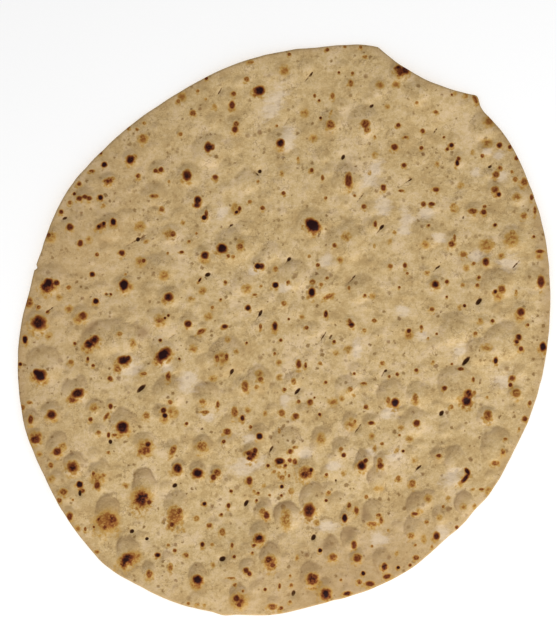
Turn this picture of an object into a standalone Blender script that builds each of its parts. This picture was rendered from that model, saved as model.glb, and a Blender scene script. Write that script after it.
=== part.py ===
"""Taftoon flatbread: one thin oval sheet of baked dough, about 43 cm long.

The bread lies flat on its underside, the baked face up. The outline is an oval with slow
swells and one torn edge. The face carries blisters that lean towards their scorched tops and
rows of docking slits. The rim is rounded, and lifts a little off the table in a few places.
Blisters and slits are placed in millimetres from one point near the middle of the bread, X to
the right and Y away.
"""

import math

import bmesh
import bpy
import numpy as np
from mathutils import Vector
from mathutils.geometry import delaunay_2d_cdt

# One millimetre in metres
MM = 0.001

# Oval of the outline, in mm and degrees
OVAL_LONG_HALF = 219.9
OVAL_SHORT_HALF = 192.7
OVAL_TURN = 58.2

# Middle of the oval, from the point that blisters and slits are placed from, in mm
OVAL_MIDDLE_X = 1.0
OVAL_MIDDLE_Y = -1.7

# Slow swells of the outline: angle and half width in degrees, height in mm
EDGE_SWELLS = (
    (8, 31, -2.6),
    (44, 16, 3.1),
    (51.2, 2.2, 2.4),
    (51.2, 3.9, 3.7),
    (72.1, 14, 6.1),
    (91, 6, -0.7),
    (97, 10, -1.1),
    (113, 22, -3.6),
    (133, 24, -1.3),
    (147, 17, 2.4),
    (165, 22, -1.2),
    (172, 6, -0.6),
    (188, 13, 0.3),
    (212, 13, -2.6),
    (222, 6, -0.9),
    (233, 7, 1.6),
    (258, 13, -0.7),
    (254, 14, 0.4),
    (257.6, 3, 1.3),
    (277, 11, -2.1),
    (297, 13, 2.0),
    (312, 6, 1.5),
    (322, 10, 1.9),
)

# Torn edge between two corners: angles in degrees, inward bow in mm
TORN_FIRST_CORNER = 51.2
TORN_LAST_CORNER = 72.1
TORN_BOW = 6.0

# Thickness of the sheet and roundness of its edge, in mm
MIDDLE_THICKNESS = 3.4
RIM_THICKNESS = 2.6
RIM_WIDTH = 16.0
EDGE_ROUNDING = 1.4

# Places where the rim lifts off the table: angle and half width in degrees, height in mm
RIM_LIFTS = (
    (18, 34, 3.6),
    (62, 16, 2.2),
    (100, 24, 2.6),
    (153, 36, 4.8),
    (205, 22, 2.4),
    (252, 30, 4.2),
    (318, 28, 3.2),
)
LIFT_START = 0.62

# Broad waves of the sheet outside its flat seat: heading in degrees, length and height in mm
BROAD_WAVES = (
    (20, 118, 0.9),
    (75, 96, 0.8),
    (140, 134, 1.0),
)
SEAT_RADIUS = 70.0
SEAT_FADE = 60.0

# Three low spots that the bread rests on, from the oval's middle, and the rise of the rest, in mm
REST_SPOTS = ((105, 55), (-100, 62), (-8, -120))
REST_SPOT_WIDTH = 34.0
REST_RISE = 0.4

# Blisters: x, y and radius in mm, from the far edge to the near one
BLISTERS = (
    (71, 181, 7), (99, 177, 10), (86, 193, 8), (34, 155, 9), (60, 155, 12), (-37, 152, 8),
    (150, 152, 11), (-3, 141, 10), (-57, 134, 13), (152, 137, 7), (130, 127, 6), (-116, 128, 7),
    (-72, 116, 9), (-94, 120, 7), (46, 113, 11), (-27, 111, 10), (-131, 112, 7), (158, 104, 7),
    (174, 100, 8), (-98, 100, 9), (-150, 99, 8), (-66, 98, 7), (142, 88, 7), (-60, 86, 6),
    (21, 80, 12), (66, 79, 6), (-132, 77, 11), (-175, 70, 7), (-85, 72, 7), (108, 72, 12),
    (171, 68, 10), (47, 66, 16), (125, 66, 7), (-38, 62, 15), (-60, 57, 7), (-10, 57, 8),
    (151, 51, 6), (-18, 49, 7), (-93, 47, 11), (7, 40, 12), (-174, 38, 12), (190, 38, 9),
    (-31, 35, 9), (28, 34, 11), (160, 34, 13), (113, 34, 7), (-120, 34, 8), (57, 31, 11),
    (-87, 25, 8), (177, 14, 7), (-152, 11, 7), (-94, 9, 9), (-72, 6, 6), (-185, 6, 9),
    (128, 0, 13), (165, -9, 15), (-67, -12, 7), (146, -17, 10), (-91, -17, 10), (-43, -21, 15),
    (-122, -22, 9), (-180, -27, 14), (-20, -37, 10), (7, -37, 6), (128, -41, 14), (-31, -42, 7),
    (47, -43, 9), (-157, -45, 10), (80, -48, 11), (173, -48, 6), (-87, -47, 12), (101, -49, 10),
    (-58, -49, 10), (-142, -58, 6), (-175, -62, 8), (-90, -62, 8), (152, -64, 8), (65, -68, 6),
    (49, -69, 7), (-190, -67, 6), (97, -69, 11), (-122, -70, 11), (-140, -76, 6), (-19, -77, 7),
    (-187, -80, 6), (28, -80, 8), (-104, -85, 9), (159, -87, 14), (2, -86, 13), (-170, -87, 10),
    (-61, -87, 8), (42, -89, 8), (-84, -89, 7), (-25, -91, 8), (115, -94, 7), (-3, -99, 6),
    (59, -99, 9), (72, -99, 7), (128, -98, 11), (-157, -101, 10), (16, -104, 9), (-80, -104, 7),
    (-138, -106, 10), (-65, -106, 8), (-52, -108, 7), (130, -109, 9), (69, -112, 10),
    (-105, -117, 13), (-139, -117, 6), (22, -127, 13), (107, -127, 7), (135, -131, 10),
    (99, -132, 10), (-81, -133, 12), (-15, -135, 9), (-133, -137, 13), (66, -138, 11),
    (117, -139, 7), (46, -139, 7), (2, -140, 12), (-161, -138, 6), (97, -149, 9),
    (-19, -153, 9), (50, -157, 9), (35, -165, 9), (-118, -166, 11), (-11, -169, 10),
    (54, -171, 7), (73, -173, 9), (-28, -178, 8), (-101, -180, 7), (-65, -184, 9),
    (20, -184, 10), (31, -195, 8), (-34, -200, 10),
)

# The one very wide blister: x, y, both half widths in mm and turn in degrees
WIDE_BLISTER = (-128, -6, 24, 15, 6)

# Height of a blister for its radius, how far its top leans, and its greatest height in mm
BLISTER_RISE = 0.19
BLISTER_LEAN = 0.36
BLISTER_TALLEST = 2.7

# Blisters are narrower near the near edge: their width there for their length, and where in y
# the narrowing starts and is complete, in mm
NEAR_BLISTER_WIDTH = 0.76
NARROW_START_Y = -55.0
NARROW_END_Y = -115.0

# Docking slits in rows, far end first: x and y in mm
SLIT_ROWS = (
    ((-48, 179), (-110, 67.5), (-133, 27.5), (-156, -10.5), (-176, -51)),
    ((20, 192), (2, 156), (-18.5, 118.5), (-39.5, 78.5), (-58, 41.5), (-84, -5), (-107.5, -43.5),
     (-130.5, -84), (-153, -121)),
    ((65, 168), (43.5, 130.5), (3, 53.5), (-18.5, 12.5), (-39.5, -31.5), (-62, -74), (-82, -117),
     (-103, -156.5)),
    ((113, 149.5), (94, 113.5), (73, 77), (51.5, 39), (29.5, -4), (9.5, -46), (-10, -89),
     (-28.5, -130), (-47, -171)),
    ((154, 122.5), (134.5, 84.5), (115, 47.5), (75.5, -31), (55, -74), (38, -113), (21.5, -155),
     (6.5, -197)),
    ((173.5, 49), (155.5, 6.5), (135.5, -23), (117, -62.5), (100.5, -103)),
)
SLIT_HEADING = 58.0
SLIT_HALF_LENGTH = 2.8
SLIT_HALF_WIDTH = 0.9
SLIT_DEPTH = 1.3

# Spacing of the surface's vertices, in mm
EDGE_STEP = 8.0
FACE_STEP = 12.0
UNDERSIDE_STEP = 23.0
LEAST_GAP = 2.3
RING_INSETS = (0.45, 1.4, 6.0, 13.0)


def ease(t):
    """Smooth step from 0 to 1."""
    t = np.clip(t, 0.0, 1.0)
    return t * t * (3.0 - 2.0 * t)


def bell(t):
    """Smooth hump, 1 in the middle and 0 from one half width on."""
    return 0.5 + 0.5 * np.cos(math.pi * np.clip(np.abs(t), 0.0, 1.0))


def turn_between(angle, middle):
    """Signed difference of two angles in degrees, from -180 to 180."""
    return (angle - middle + 180.0) % 360.0 - 180.0


def swollen_oval(angle):
    """Radius of the untorn outline at an angle in degrees."""
    along = np.radians(angle - OVAL_TURN)
    across = np.hypot(OVAL_SHORT_HALF * np.cos(along), OVAL_LONG_HALF * np.sin(along))
    radius = OVAL_LONG_HALF * OVAL_SHORT_HALF / across
    for middle, half_width, height in EDGE_SWELLS:
        radius = radius + height * bell(turn_between(angle, middle) / half_width)
    return radius


def edge_radius(angle):
    """Radius of the outline at an angle in degrees, torn edge included."""
    angle = np.asarray(angle, dtype=float) % 360.0
    first = np.radians(TORN_FIRST_CORNER)
    last = np.radians(TORN_LAST_CORNER)
    first_radius = float(swollen_oval(TORN_FIRST_CORNER))
    last_radius = float(swollen_oval(TORN_LAST_CORNER))
    start = np.array((first_radius * math.cos(first), first_radius * math.sin(first)))
    chord = np.array((last_radius * math.cos(last), last_radius * math.sin(last))) - start
    heading_x = np.cos(np.radians(angle))
    heading_y = np.sin(np.radians(angle))
    crossing = heading_x * chord[1] - heading_y * chord[0]
    crossing = np.where(np.abs(crossing) < 1e-6, 1e-6, crossing)
    reach = (start[0] * chord[1] - start[1] * chord[0]) / crossing
    share = (start[0] * heading_y - start[1] * heading_x) / crossing
    torn = reach - TORN_BOW * 4.0 * share * (1.0 - share)
    is_torn = (angle > TORN_FIRST_CORNER) & (angle < TORN_LAST_CORNER)
    return np.where(is_torn, torn, swollen_oval(angle))


def inset(x, y):
    """Distance from the outline inwards, along the line to the middle."""
    return edge_radius(np.degrees(np.arctan2(y, x))) - np.hypot(x, y)


def underside_lift(x, y):
    """Height of the sheet's underside above the table."""
    angle = np.degrees(np.arctan2(y, x))
    outwards = np.hypot(x, y)
    share = ease((outwards / edge_radius(angle) - LIFT_START) / (1.0 - LIFT_START))
    lift = np.zeros_like(outwards)
    for middle, half_width, height in RIM_LIFTS:
        lift = lift + height * share * bell(turn_between(angle, middle) / half_width)
    wave = np.zeros_like(outwards)
    for heading, length, height in BROAD_WAVES:
        along = x * math.cos(math.radians(heading)) + y * math.sin(math.radians(heading))
        wave = wave + height * np.sin(2.0 * math.pi * along / length)
    unseated = ease((outwards - SEAT_RADIUS) / SEAT_FADE)
    resting = np.zeros_like(outwards)
    for spot_x, spot_y in REST_SPOTS:
        resting = np.maximum(resting, bell(np.hypot(x - spot_x, y - spot_y) / REST_SPOT_WIDTH))
    return (lift + np.maximum(wave - 0.5, 0.0) * unseated + REST_RISE) * (1.0 - resting)


def blister_width(y):
    """Width of a blister for its length at a place in y."""
    share = float(ease((NARROW_START_Y - y) / (NARROW_START_Y - NARROW_END_Y)))
    return 1.0 - (1.0 - NEAR_BLISTER_WIDTH) * share


def blister_list():
    """Every blister from the oval's middle: x, y, two half widths, turn in degrees and height."""
    for x, y, radius in BLISTERS:
        height = min(BLISTER_RISE * radius, BLISTER_TALLEST)
        width = radius * blister_width(y)
        yield x - OVAL_MIDDLE_X, y - OVAL_MIDDLE_Y, width, radius, 0.0, height
    x, y, half_length, half_width, turn = WIDE_BLISTER
    yield x - OVAL_MIDDLE_X, y - OVAL_MIDDLE_Y, half_length, half_width, turn, BLISTER_TALLEST


def slit_list():
    """Every docking slit from the oval's middle: x and y."""
    for row in SLIT_ROWS:
        for x, y in row:
            yield x - OVAL_MIDDLE_X, y - OVAL_MIDDLE_Y


def blister_rise(x, y):
    """Height of the blisters above the sheet."""
    rise = np.zeros_like(x)
    lean = BLISTER_LEAN
    for middle_x, middle_y, half_length, half_width, turn, height in blister_list():
        cosine = math.cos(math.radians(turn))
        sine = math.sin(math.radians(turn))
        along = ((x - middle_x) * cosine + (y - middle_y) * sine) / half_length
        across = ((y - middle_y) * cosine - (x - middle_x) * sine) / half_width
        across = across + lean
        inner = 1.0 - lean * lean
        dot = -lean * across
        level = (dot + np.sqrt(dot * dot + inner * (along * along + across * across))) / inner
        rise = np.maximum(rise, height * (1.0 - np.minimum(level, 1.0) ** 2))
    return rise


def half_thickness(depth):
    """Half thickness of the sheet at a distance in from the outline."""
    full = RIM_THICKNESS + (MIDDLE_THICKNESS - RIM_THICKNESS) * ease(depth / RIM_WIDTH)
    corner = np.clip(1.0 - depth / EDGE_ROUNDING, 0.0, 1.0)
    return 0.5 * full * np.sqrt(1.0 - corner * corner)


def sheet_middle(x, y):
    """Height of the middle of the sheet's thickness."""
    full = RIM_THICKNESS + (MIDDLE_THICKNESS - RIM_THICKNESS) * ease(inset(x, y) / RIM_WIDTH)
    return underside_lift(x, y) + 0.5 * full


def top_height(x, y):
    """Height of the baked face, blisters included."""
    depth = inset(x, y)
    blisters = blister_rise(x, y) * ease(depth / 5.0)
    return sheet_middle(x, y) + half_thickness(depth) + blisters


def underside_height(x, y):
    """Height of the underside."""
    return sheet_middle(x, y) - half_thickness(inset(x, y))


def outline_angles():
    """Angles of the outline's vertices, with one on each corner of the torn edge."""
    torn = TORN_LAST_CORNER - TORN_FIRST_CORNER
    mean_radius = 0.5 * (OVAL_LONG_HALF + OVAL_SHORT_HALF)
    step = math.degrees(EDGE_STEP / mean_radius)
    torn_count = round(torn / step)
    rest_count = round((360.0 - torn) / step)
    torn_part = TORN_FIRST_CORNER + torn * np.arange(torn_count) / torn_count
    rest_part = TORN_LAST_CORNER + (360.0 - torn) * np.arange(rest_count) / rest_count
    return np.concatenate((torn_part, rest_part))


def ring(depth):
    """Vertices of the outline moved inwards by a depth."""
    angles = outline_angles()
    radius = edge_radius(angles) - depth
    return list(zip(radius * np.cos(np.radians(angles)), radius * np.sin(np.radians(angles))))


def slit_corners(x, y):
    """Four corners of one docking slit."""
    along = Vector((math.cos(math.radians(SLIT_HEADING)), math.sin(math.radians(SLIT_HEADING))))
    across = Vector((-along.y, along.x))
    middle = Vector((x, y))
    for shift in (along * SLIT_HALF_LENGTH, across * SLIT_HALF_WIDTH):
        yield tuple(middle + shift)
        yield tuple(middle - shift)


def blister_places():
    """Vertices round the foot, the flank and the top of each blister."""
    for x, y, half_length, half_width, turn, _ in blister_list():
        foot_count = max(9, round(math.pi * (half_length + half_width) / 6.0))
        flank_count = max(6, foot_count // 2 + 1)
        for level, count in ((1.0, foot_count), (0.6, flank_count), (0.0, 1)):
            for index in range(count):
                angle = 2.0 * math.pi * (index + 0.5) / count
                along = half_length * level * math.cos(angle)
                across = half_width * (level * math.sin(angle) - BLISTER_LEAN * (1.0 - level))
                cosine = math.cos(math.radians(turn))
                sine = math.sin(math.radians(turn))
                yield x + along * cosine - across * sine, y + along * sine + across * cosine


def grid_places(step):
    """Places of a honeycomb grid that covers the bread."""
    reach = OVAL_LONG_HALF + step
    rows = int(reach / (step * 0.866)) + 1
    columns = int(reach / step) + 1
    for row in range(-rows, rows + 1):
        shift = 0.5 * step * (row % 2)
        for column in range(-columns, columns + 1):
            yield column * step + shift, row * step * 0.866


class Spread:
    """Plan places that keep a least gap from one another."""

    def __init__(self):
        self.places = []
        self.cells = {}

    def is_free(self, x, y, gap):
        column = int(x // 16)
        row = int(y // 16)
        for near_column in (column - 1, column, column + 1):
            for near_row in (row - 1, row, row + 1):
                for other_x, other_y in self.cells.get((near_column, near_row), ()):
                    if math.hypot(x - other_x, y - other_y) < gap:
                        return False
        return True

    def add(self, x, y, gap=0.0):
        if gap and not self.is_free(x, y, gap):
            return
        self.places.append((float(x), float(y)))
        self.cells.setdefault((int(x // 16), int(y // 16)), []).append((x, y))


def in_a_blister(x, y):
    """True where a grid vertex would crowd a blister."""
    for middle_x, middle_y, half_length, half_width, _, _ in blister_list():
        if math.hypot((x - middle_x) / half_length, (y - middle_y) / half_width) < 1.15:
            return True
    return False


def top_places():
    """Plan places of the baked face, the outline first, and how many of them are slit bottoms."""
    spread = Spread()
    for x, y in ring(0.0):
        spread.add(x, y)
    for depth in RING_INSETS:
        for x, y in ring(depth):
            spread.add(x, y)
    slit_bottoms = []
    for x, y in slit_list():
        slit_bottoms.append(len(spread.places))
        spread.add(x, y)
        for corner_x, corner_y in slit_corners(x, y):
            spread.add(corner_x, corner_y)
    for x, y in blister_places():
        if inset(x, y) > 2.6:
            spread.add(x, y, LEAST_GAP)
    for x, y in grid_places(FACE_STEP):
        if inset(x, y) > 18.0 and not in_a_blister(x, y):
            spread.add(x, y, 0.45 * FACE_STEP)
    return spread.places, slit_bottoms


def underside_places():
    """Plan places of the underside, the outline first."""
    spread = Spread()
    for x, y in ring(0.0):
        spread.add(x, y)
    for depth in (RING_INSETS[0], RING_INSETS[1]):
        for x, y in ring(depth):
            spread.add(x, y)
    for x, y in REST_SPOTS:
        spread.add(x, y)
    for x, y in grid_places(UNDERSIDE_STEP):
        if inset(x, y) > 12.0:
            spread.add(x, y, 0.45 * UNDERSIDE_STEP)
    return spread.places


def triangles(places, outline_count):
    """Delaunay triangles of the places inside the outline, as index triples."""
    edges = [(index, (index + 1) % outline_count) for index in range(outline_count)]
    flat = [Vector(place) for place in places]
    _, _, faces, origins, _, _ = delaunay_2d_cdt(flat, edges, [], 1, 1e-6)
    for face in faces:
        corners = [origins[corner][0] for corner in face]
        if len(set(corners)) == 3:
            yield corners


def build_bread():
    """Make the bread as one closed object standing on its lowest points."""
    outline_count = len(outline_angles())
    top, slit_bottoms = top_places()
    under = underside_places()
    top_plan = np.array(top)
    under_plan = np.array(under)
    top_z = top_height(top_plan[:, 0], top_plan[:, 1])
    top_z[slit_bottoms] -= SLIT_DEPTH
    under_z = underside_height(under_plan[:, 0], under_plan[:, 1])
    outline_z = sheet_middle(top_plan[:outline_count, 0], top_plan[:outline_count, 1])
    top_z[:outline_count] = outline_z
    middle_x = 0.5 * (top_plan[:, 0].max() + top_plan[:, 0].min())
    middle_y = 0.5 * (top_plan[:, 1].max() + top_plan[:, 1].min())
    lowest = under_z[outline_count:].min()

    shape = bmesh.new()
    top_vertices = []
    for (x, y), z in zip(top, top_z):
        place = Vector((x - middle_x, y - middle_y, z - lowest))
        top_vertices.append(shape.verts.new(place * MM))
    under_vertices = top_vertices[:outline_count]
    for (x, y), z in zip(under[outline_count:], under_z[outline_count:]):
        place = Vector((x - middle_x, y - middle_y, z - lowest))
        under_vertices.append(shape.verts.new(place * MM))
    for corners in triangles(top, outline_count):
        shape.faces.new([top_vertices[corner] for corner in corners])
    for corners in triangles(under, outline_count):
        shape.faces.new([under_vertices[corner] for corner in reversed(corners)])
    bmesh.ops.recalc_face_normals(shape, faces=shape.faces)
    for face in shape.faces:
        face.smooth = True

    mesh = bpy.data.meshes.new("taftoon")
    shape.to_mesh(mesh)
    shape.free()
    bread = bpy.data.objects.new("taftoon", mesh)
    bpy.context.scene.collection.objects.link(bread)
    return bread


def crust_material():
    """Matt, pale golden crust."""
    material = bpy.data.materials.new("taftoon_crust")
    material.use_nodes = True
    shader = material.node_tree.nodes["Principled BSDF"]
    shader.inputs["Base Color"].default_value = (0.52, 0.36, 0.18, 1.0)
    shader.inputs["Roughness"].default_value = 0.75
    return material


def main():
    for item in list(bpy.data.objects):
        bpy.data.objects.remove(item, do_unlink=True)
    bread = build_bread()
    bread.data.materials.append(crust_material())


main()
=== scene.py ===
"""Taftoon flatbread, dressed: the crust with its blisters, scorch spots, slits and flour.

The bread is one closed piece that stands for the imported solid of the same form. Plan places in
the lists are millimetres from one point near the middle of the bread, X right and Y away.
"""

import math

import bpy
import numpy as np
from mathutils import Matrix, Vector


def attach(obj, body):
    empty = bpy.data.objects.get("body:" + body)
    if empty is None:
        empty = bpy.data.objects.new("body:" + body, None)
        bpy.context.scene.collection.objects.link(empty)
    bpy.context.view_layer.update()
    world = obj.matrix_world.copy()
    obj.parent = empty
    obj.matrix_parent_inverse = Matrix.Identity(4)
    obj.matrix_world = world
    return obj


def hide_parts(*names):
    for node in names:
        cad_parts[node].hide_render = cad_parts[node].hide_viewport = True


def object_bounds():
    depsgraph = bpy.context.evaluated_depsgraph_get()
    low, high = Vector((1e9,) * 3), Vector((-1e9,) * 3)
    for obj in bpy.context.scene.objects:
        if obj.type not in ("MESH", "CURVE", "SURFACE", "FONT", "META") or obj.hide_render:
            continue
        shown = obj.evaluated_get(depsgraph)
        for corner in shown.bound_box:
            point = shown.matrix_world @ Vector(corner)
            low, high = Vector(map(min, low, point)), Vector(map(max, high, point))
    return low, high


bl_info = {
    "name": "Taftoon flatbread",
    "version": (1, 0, 0),
    "blender": (4, 5, 0),
    "location": "View3D > Sidebar > Taftoon",
    "description": "A thin oval flatbread with blisters, scorch spots and docking slits",
    "category": "Add Mesh",
}

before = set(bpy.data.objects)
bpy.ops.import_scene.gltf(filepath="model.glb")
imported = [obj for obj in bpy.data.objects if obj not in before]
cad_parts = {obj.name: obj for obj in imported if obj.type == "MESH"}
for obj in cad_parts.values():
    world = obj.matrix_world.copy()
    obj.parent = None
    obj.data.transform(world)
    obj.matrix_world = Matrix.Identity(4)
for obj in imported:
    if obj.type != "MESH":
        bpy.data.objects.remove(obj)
CAD_LOW, CAD_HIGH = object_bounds()

# One millimetre in metres
MM = 0.001

# Oval of the outline, in mm and degrees
OVAL_LONG_HALF = 219.9
OVAL_SHORT_HALF = 192.7
OVAL_TURN = 58.2

# Middle of the oval, from the point that the lists are measured from, in mm
OVAL_MIDDLE_X = 1.0
OVAL_MIDDLE_Y = -1.7

# Slow swells of the outline: angle and half width in degrees, height in mm
EDGE_SWELLS = (
    (8, 31, -2.6), (44, 16, 3.1), (51.2, 2.2, 2.4), (51.2, 3.9, 3.7), (72.1, 14, 6.1),
    (91, 6, -0.7), (97, 10, -1.1), (113, 22, -3.6), (133, 24, -1.3), (147, 17, 2.4),
    (165, 22, -1.2), (172, 6, -0.6), (188, 13, 0.3), (212, 13, -2.6), (222, 6, -0.9),
    (233, 7, 1.6), (258, 13, -0.7), (254, 14, 0.4), (257.6, 3, 1.3), (277, 11, -2.1),
    (297, 13, 2.0), (312, 6, 1.5), (322, 10, 1.9),
)

# Torn edge between two corners: angles in degrees, inward bow in mm
TORN_FIRST_CORNER = 51.2
TORN_LAST_CORNER = 72.1
TORN_BOW = 6.0

# Roundness of the edge and width of the thinner rim, in mm
EDGE_ROUNDING = 1.4
RIM_WIDTH = 16.0

# Fine unevenness of the outline: its height, the size of its lumps and how far out its random
# field is read, in mm, and the field's seed
EDGE_UNEVENNESS = 0.22
EDGE_LUMP = 7.0
EDGE_READ_RADIUS = 200.0
EDGE_SEED = 31

# Steps round the outline when its box is measured, and cells of a random field's table
OUTLINE_STEPS = 2880
LUMP_CELLS = 64

# Places where the rim lifts off the table: angle and half width in degrees, height in mm, and
# the share of the radius at which the lift starts
RIM_LIFTS = (
    (18, 34, 3.6), (62, 16, 2.2), (100, 24, 2.6), (153, 36, 4.8), (205, 22, 2.4),
    (252, 30, 4.2), (318, 28, 3.2),
)
LIFT_START = 0.62

# Broad waves of the sheet: heading in degrees, length and height in mm, how much of them the
# bread's weight flattens, and the radius of the flat seat and the width of its edge, in mm
BROAD_WAVES = ((20, 118, 0.9), (75, 96, 0.8), (140, 134, 1.0))
WAVE_SUNK = 0.5
SEAT_RADIUS = 70.0
SEAT_FADE = 60.0

# Three low spots that the bread rests on, from the oval's middle, their width and the rise of
# the rest, in mm
REST_SPOTS = ((105, 55), (-100, 62), (-8, -120))
REST_SPOT_WIDTH = 34.0
REST_RISE = 0.4

# Blisters: x, y and radius in mm, from the far edge to the near one
BLISTERS = (
    (71, 181, 7), (99, 177, 10), (86, 193, 8), (34, 155, 9), (60, 155, 12), (-37, 152, 8),
    (150, 152, 11), (-3, 141, 10), (-57, 134, 13), (152, 137, 7), (130, 127, 6), (-116, 128, 7),
    (-72, 116, 9), (-94, 120, 7), (46, 113, 11), (-27, 111, 10), (-131, 112, 7), (158, 104, 7),
    (174, 100, 8), (-98, 100, 9), (-150, 99, 8), (-66, 98, 7), (142, 88, 7), (-60, 86, 6),
    (21, 80, 12), (66, 79, 6), (-132, 77, 11), (-175, 70, 7), (-85, 72, 7), (108, 72, 12),
    (171, 68, 10), (47, 66, 16), (125, 66, 7), (-38, 62, 15), (-60, 57, 7), (-10, 57, 8),
    (151, 51, 6), (-18, 49, 7), (-93, 47, 11), (7, 40, 12), (-174, 38, 12), (190, 38, 9),
    (-31, 35, 9), (28, 34, 11), (160, 34, 13), (113, 34, 7), (-120, 34, 8), (57, 31, 11),
    (-87, 25, 8), (177, 14, 7), (-152, 11, 7), (-94, 9, 9), (-72, 6, 6), (-185, 6, 9),
    (128, 0, 13), (165, -9, 15), (-67, -12, 7), (146, -17, 10), (-91, -17, 10), (-43, -21, 15),
    (-122, -22, 9), (-180, -27, 14), (-20, -37, 10), (7, -37, 6), (128, -41, 14), (-31, -42, 7),
    (47, -43, 9), (-157, -45, 10), (80, -48, 11), (173, -48, 6), (-87, -47, 12), (101, -49, 10),
    (-58, -49, 10), (-142, -58, 6), (-175, -62, 8), (-90, -62, 8), (152, -64, 8), (65, -68, 6),
    (49, -69, 7), (-190, -67, 6), (97, -69, 11), (-122, -70, 11), (-140, -76, 6), (-19, -77, 7),
    (-187, -80, 6), (28, -80, 8), (-104, -85, 9), (159, -87, 14), (2, -86, 13), (-170, -87, 10),
    (-61, -87, 8), (42, -89, 8), (-84, -89, 7), (-25, -91, 8), (115, -94, 7), (-3, -99, 6),
    (59, -99, 9), (72, -99, 7), (128, -98, 11), (-157, -101, 10), (16, -104, 9), (-80, -104, 7),
    (-138, -106, 10), (-65, -106, 8), (-52, -108, 7), (130, -109, 9), (69, -112, 10),
    (-105, -117, 13), (-139, -117, 6), (22, -127, 13), (107, -127, 7), (135, -131, 10),
    (99, -132, 10), (-81, -133, 12), (-15, -135, 9), (-133, -137, 13), (66, -138, 11),
    (117, -139, 7), (46, -139, 7), (2, -140, 12), (-161, -138, 6), (97, -149, 9),
    (-19, -153, 9), (50, -157, 9), (35, -165, 9), (-118, -166, 11), (-11, -169, 10),
    (54, -171, 7), (73, -173, 9), (-28, -178, 8), (-101, -180, 7), (-65, -184, 9),
    (20, -184, 10), (31, -195, 8), (-34, -200, 10),
)

# The one very wide blister: x, y, both half widths in mm and turn in degrees
WIDE_BLISTER = (-128, -6, 24, 15, 6)

# Height of a blister for its radius, how far its top leans, and its greatest height in mm
BLISTER_RISE = 0.19
BLISTER_LEAN = 0.36
BLISTER_TALLEST = 2.7

# How far beyond its middle a blister is worked out: share of its half length, and mm more
BLISTER_REACH_SHARE = 1.6
BLISTER_REACH_MORE = 4.0

# Unevenness of the blisters' feet: how far they wander, the size of the lumps in mm, and the
# seeds for x and for y
FOOT_WANDERS = ((1.5, 8.0, 11, 13), (0.7, 3.5, 12, 14))

# Distance outside a blister's foot, in mm, that counts as far away
FAR_FROM_FOOT = 8.0

# Blisters are narrower near the near edge: their width there for their length, and where in y
# the narrowing starts and is complete, in mm
NEAR_BLISTER_WIDTH = 0.76
NARROW_START_Y = -55.0
NARROW_END_Y = -115.0

# Side of a blister that gets painted shade, away from the lamp: its heading in degrees at the left
# of the bread, how far it turns to the left towards the right of the bread, and where in x the turn
# starts and its width
SHADE_HEADING = 102.0
SHADE_TURN = 26.0
SHADE_TURN_START = -80.0
SHADE_TURN_WIDTH = 200.0

# Strength of that painted shade: for a very low blister, its middle and its swing over lumps of a
# size in mm with a seed, in the far half, how much more near the near edge, and where in y that
# starts and its width
LOW_BLISTER_SHADE = 0.4
SHADE_MIDDLE = 0.85
SHADE_SWING = 0.45
SHADE_LUMP = 17.0
SHADE_SEED = 15
FAR_SHADE = 0.46
NEAR_SHADE_MORE = 0.66
NEAR_SHADE_START = 40.0
NEAR_SHADE_WIDTH = 170.0

# Shade at a blister's side, halfway round, and how fast it grows towards the far side
SIDE_SHADE = 0.45
SIDE_SHADE_GROWTH = 0.7

# Little blisters between the listed ones: how many, radii in mm, how much more often they are
# small, rise for the radius and seed
LITTLE_BLISTERS = 330
LITTLE_SMALLEST = 2.6
LITTLE_LARGEST = 6.5
LITTLE_CROWDING = 1.6
LITTLE_RISE = 0.13
LITTLE_SEED = 5

# Places of the little blisters: inset from the rim in mm, share of a listed blister that they
# keep clear of, tries for each, stretch, and turn in degrees
LITTLE_INSET = 7.0
LISTED_CLEARANCE = 0.75
LITTLE_TRIES = 20
LITTLE_STRETCH = (0.85, 1.25)
LITTLE_TURN = 30.0

# Swellings under the scorch spots: radius for the spot's and mm more, share of the radius that
# they lie further away, height for the radius, greatest height in mm and share of it that is kept
SWELLING_RADIUS_SHARE = 1.5
SWELLING_RADIUS_MORE = 1.4
SWELLING_SHIFT = 0.2
SWELLING_RISE = 0.17
SWELLING_TALLEST = 0.9
SWELLING_KEPT = 0.6

# Dents of the slits, in mm: how far they reach, how much longer and wider each half of the cut
# is than the slit, and the dimple's depth and radius
DENT_REACH = 12.0
CUT_LONGER = 0.8
CUT_WIDER = 0.7
DIMPLE_DEPTH = 0.45
DIMPLE_RADIUS = 9.0

# Crumple of the skin: share, size in mm and seed of its folds, and of its lumps
CRUMPLE_FOLDS = (0.5, 9.0, 21)
CRUMPLE_LUMPS = ((0.3, 4.2, 22), (0.2, 19.0, 23))

# Hollows of the underside: depth in mm, and share, size in mm and seed of their lumps
HOLLOW_DEPTH = 0.35
HOLLOW_LUMPS = ((1.0, 13.0, 41), (0.25, 5.0, 42))

# Distance in from the outline over which the relief of each face grows, in mm
FACE_RELIEF_START = 5.0
UNDERSIDE_RELIEF_START = 8.0

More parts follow.
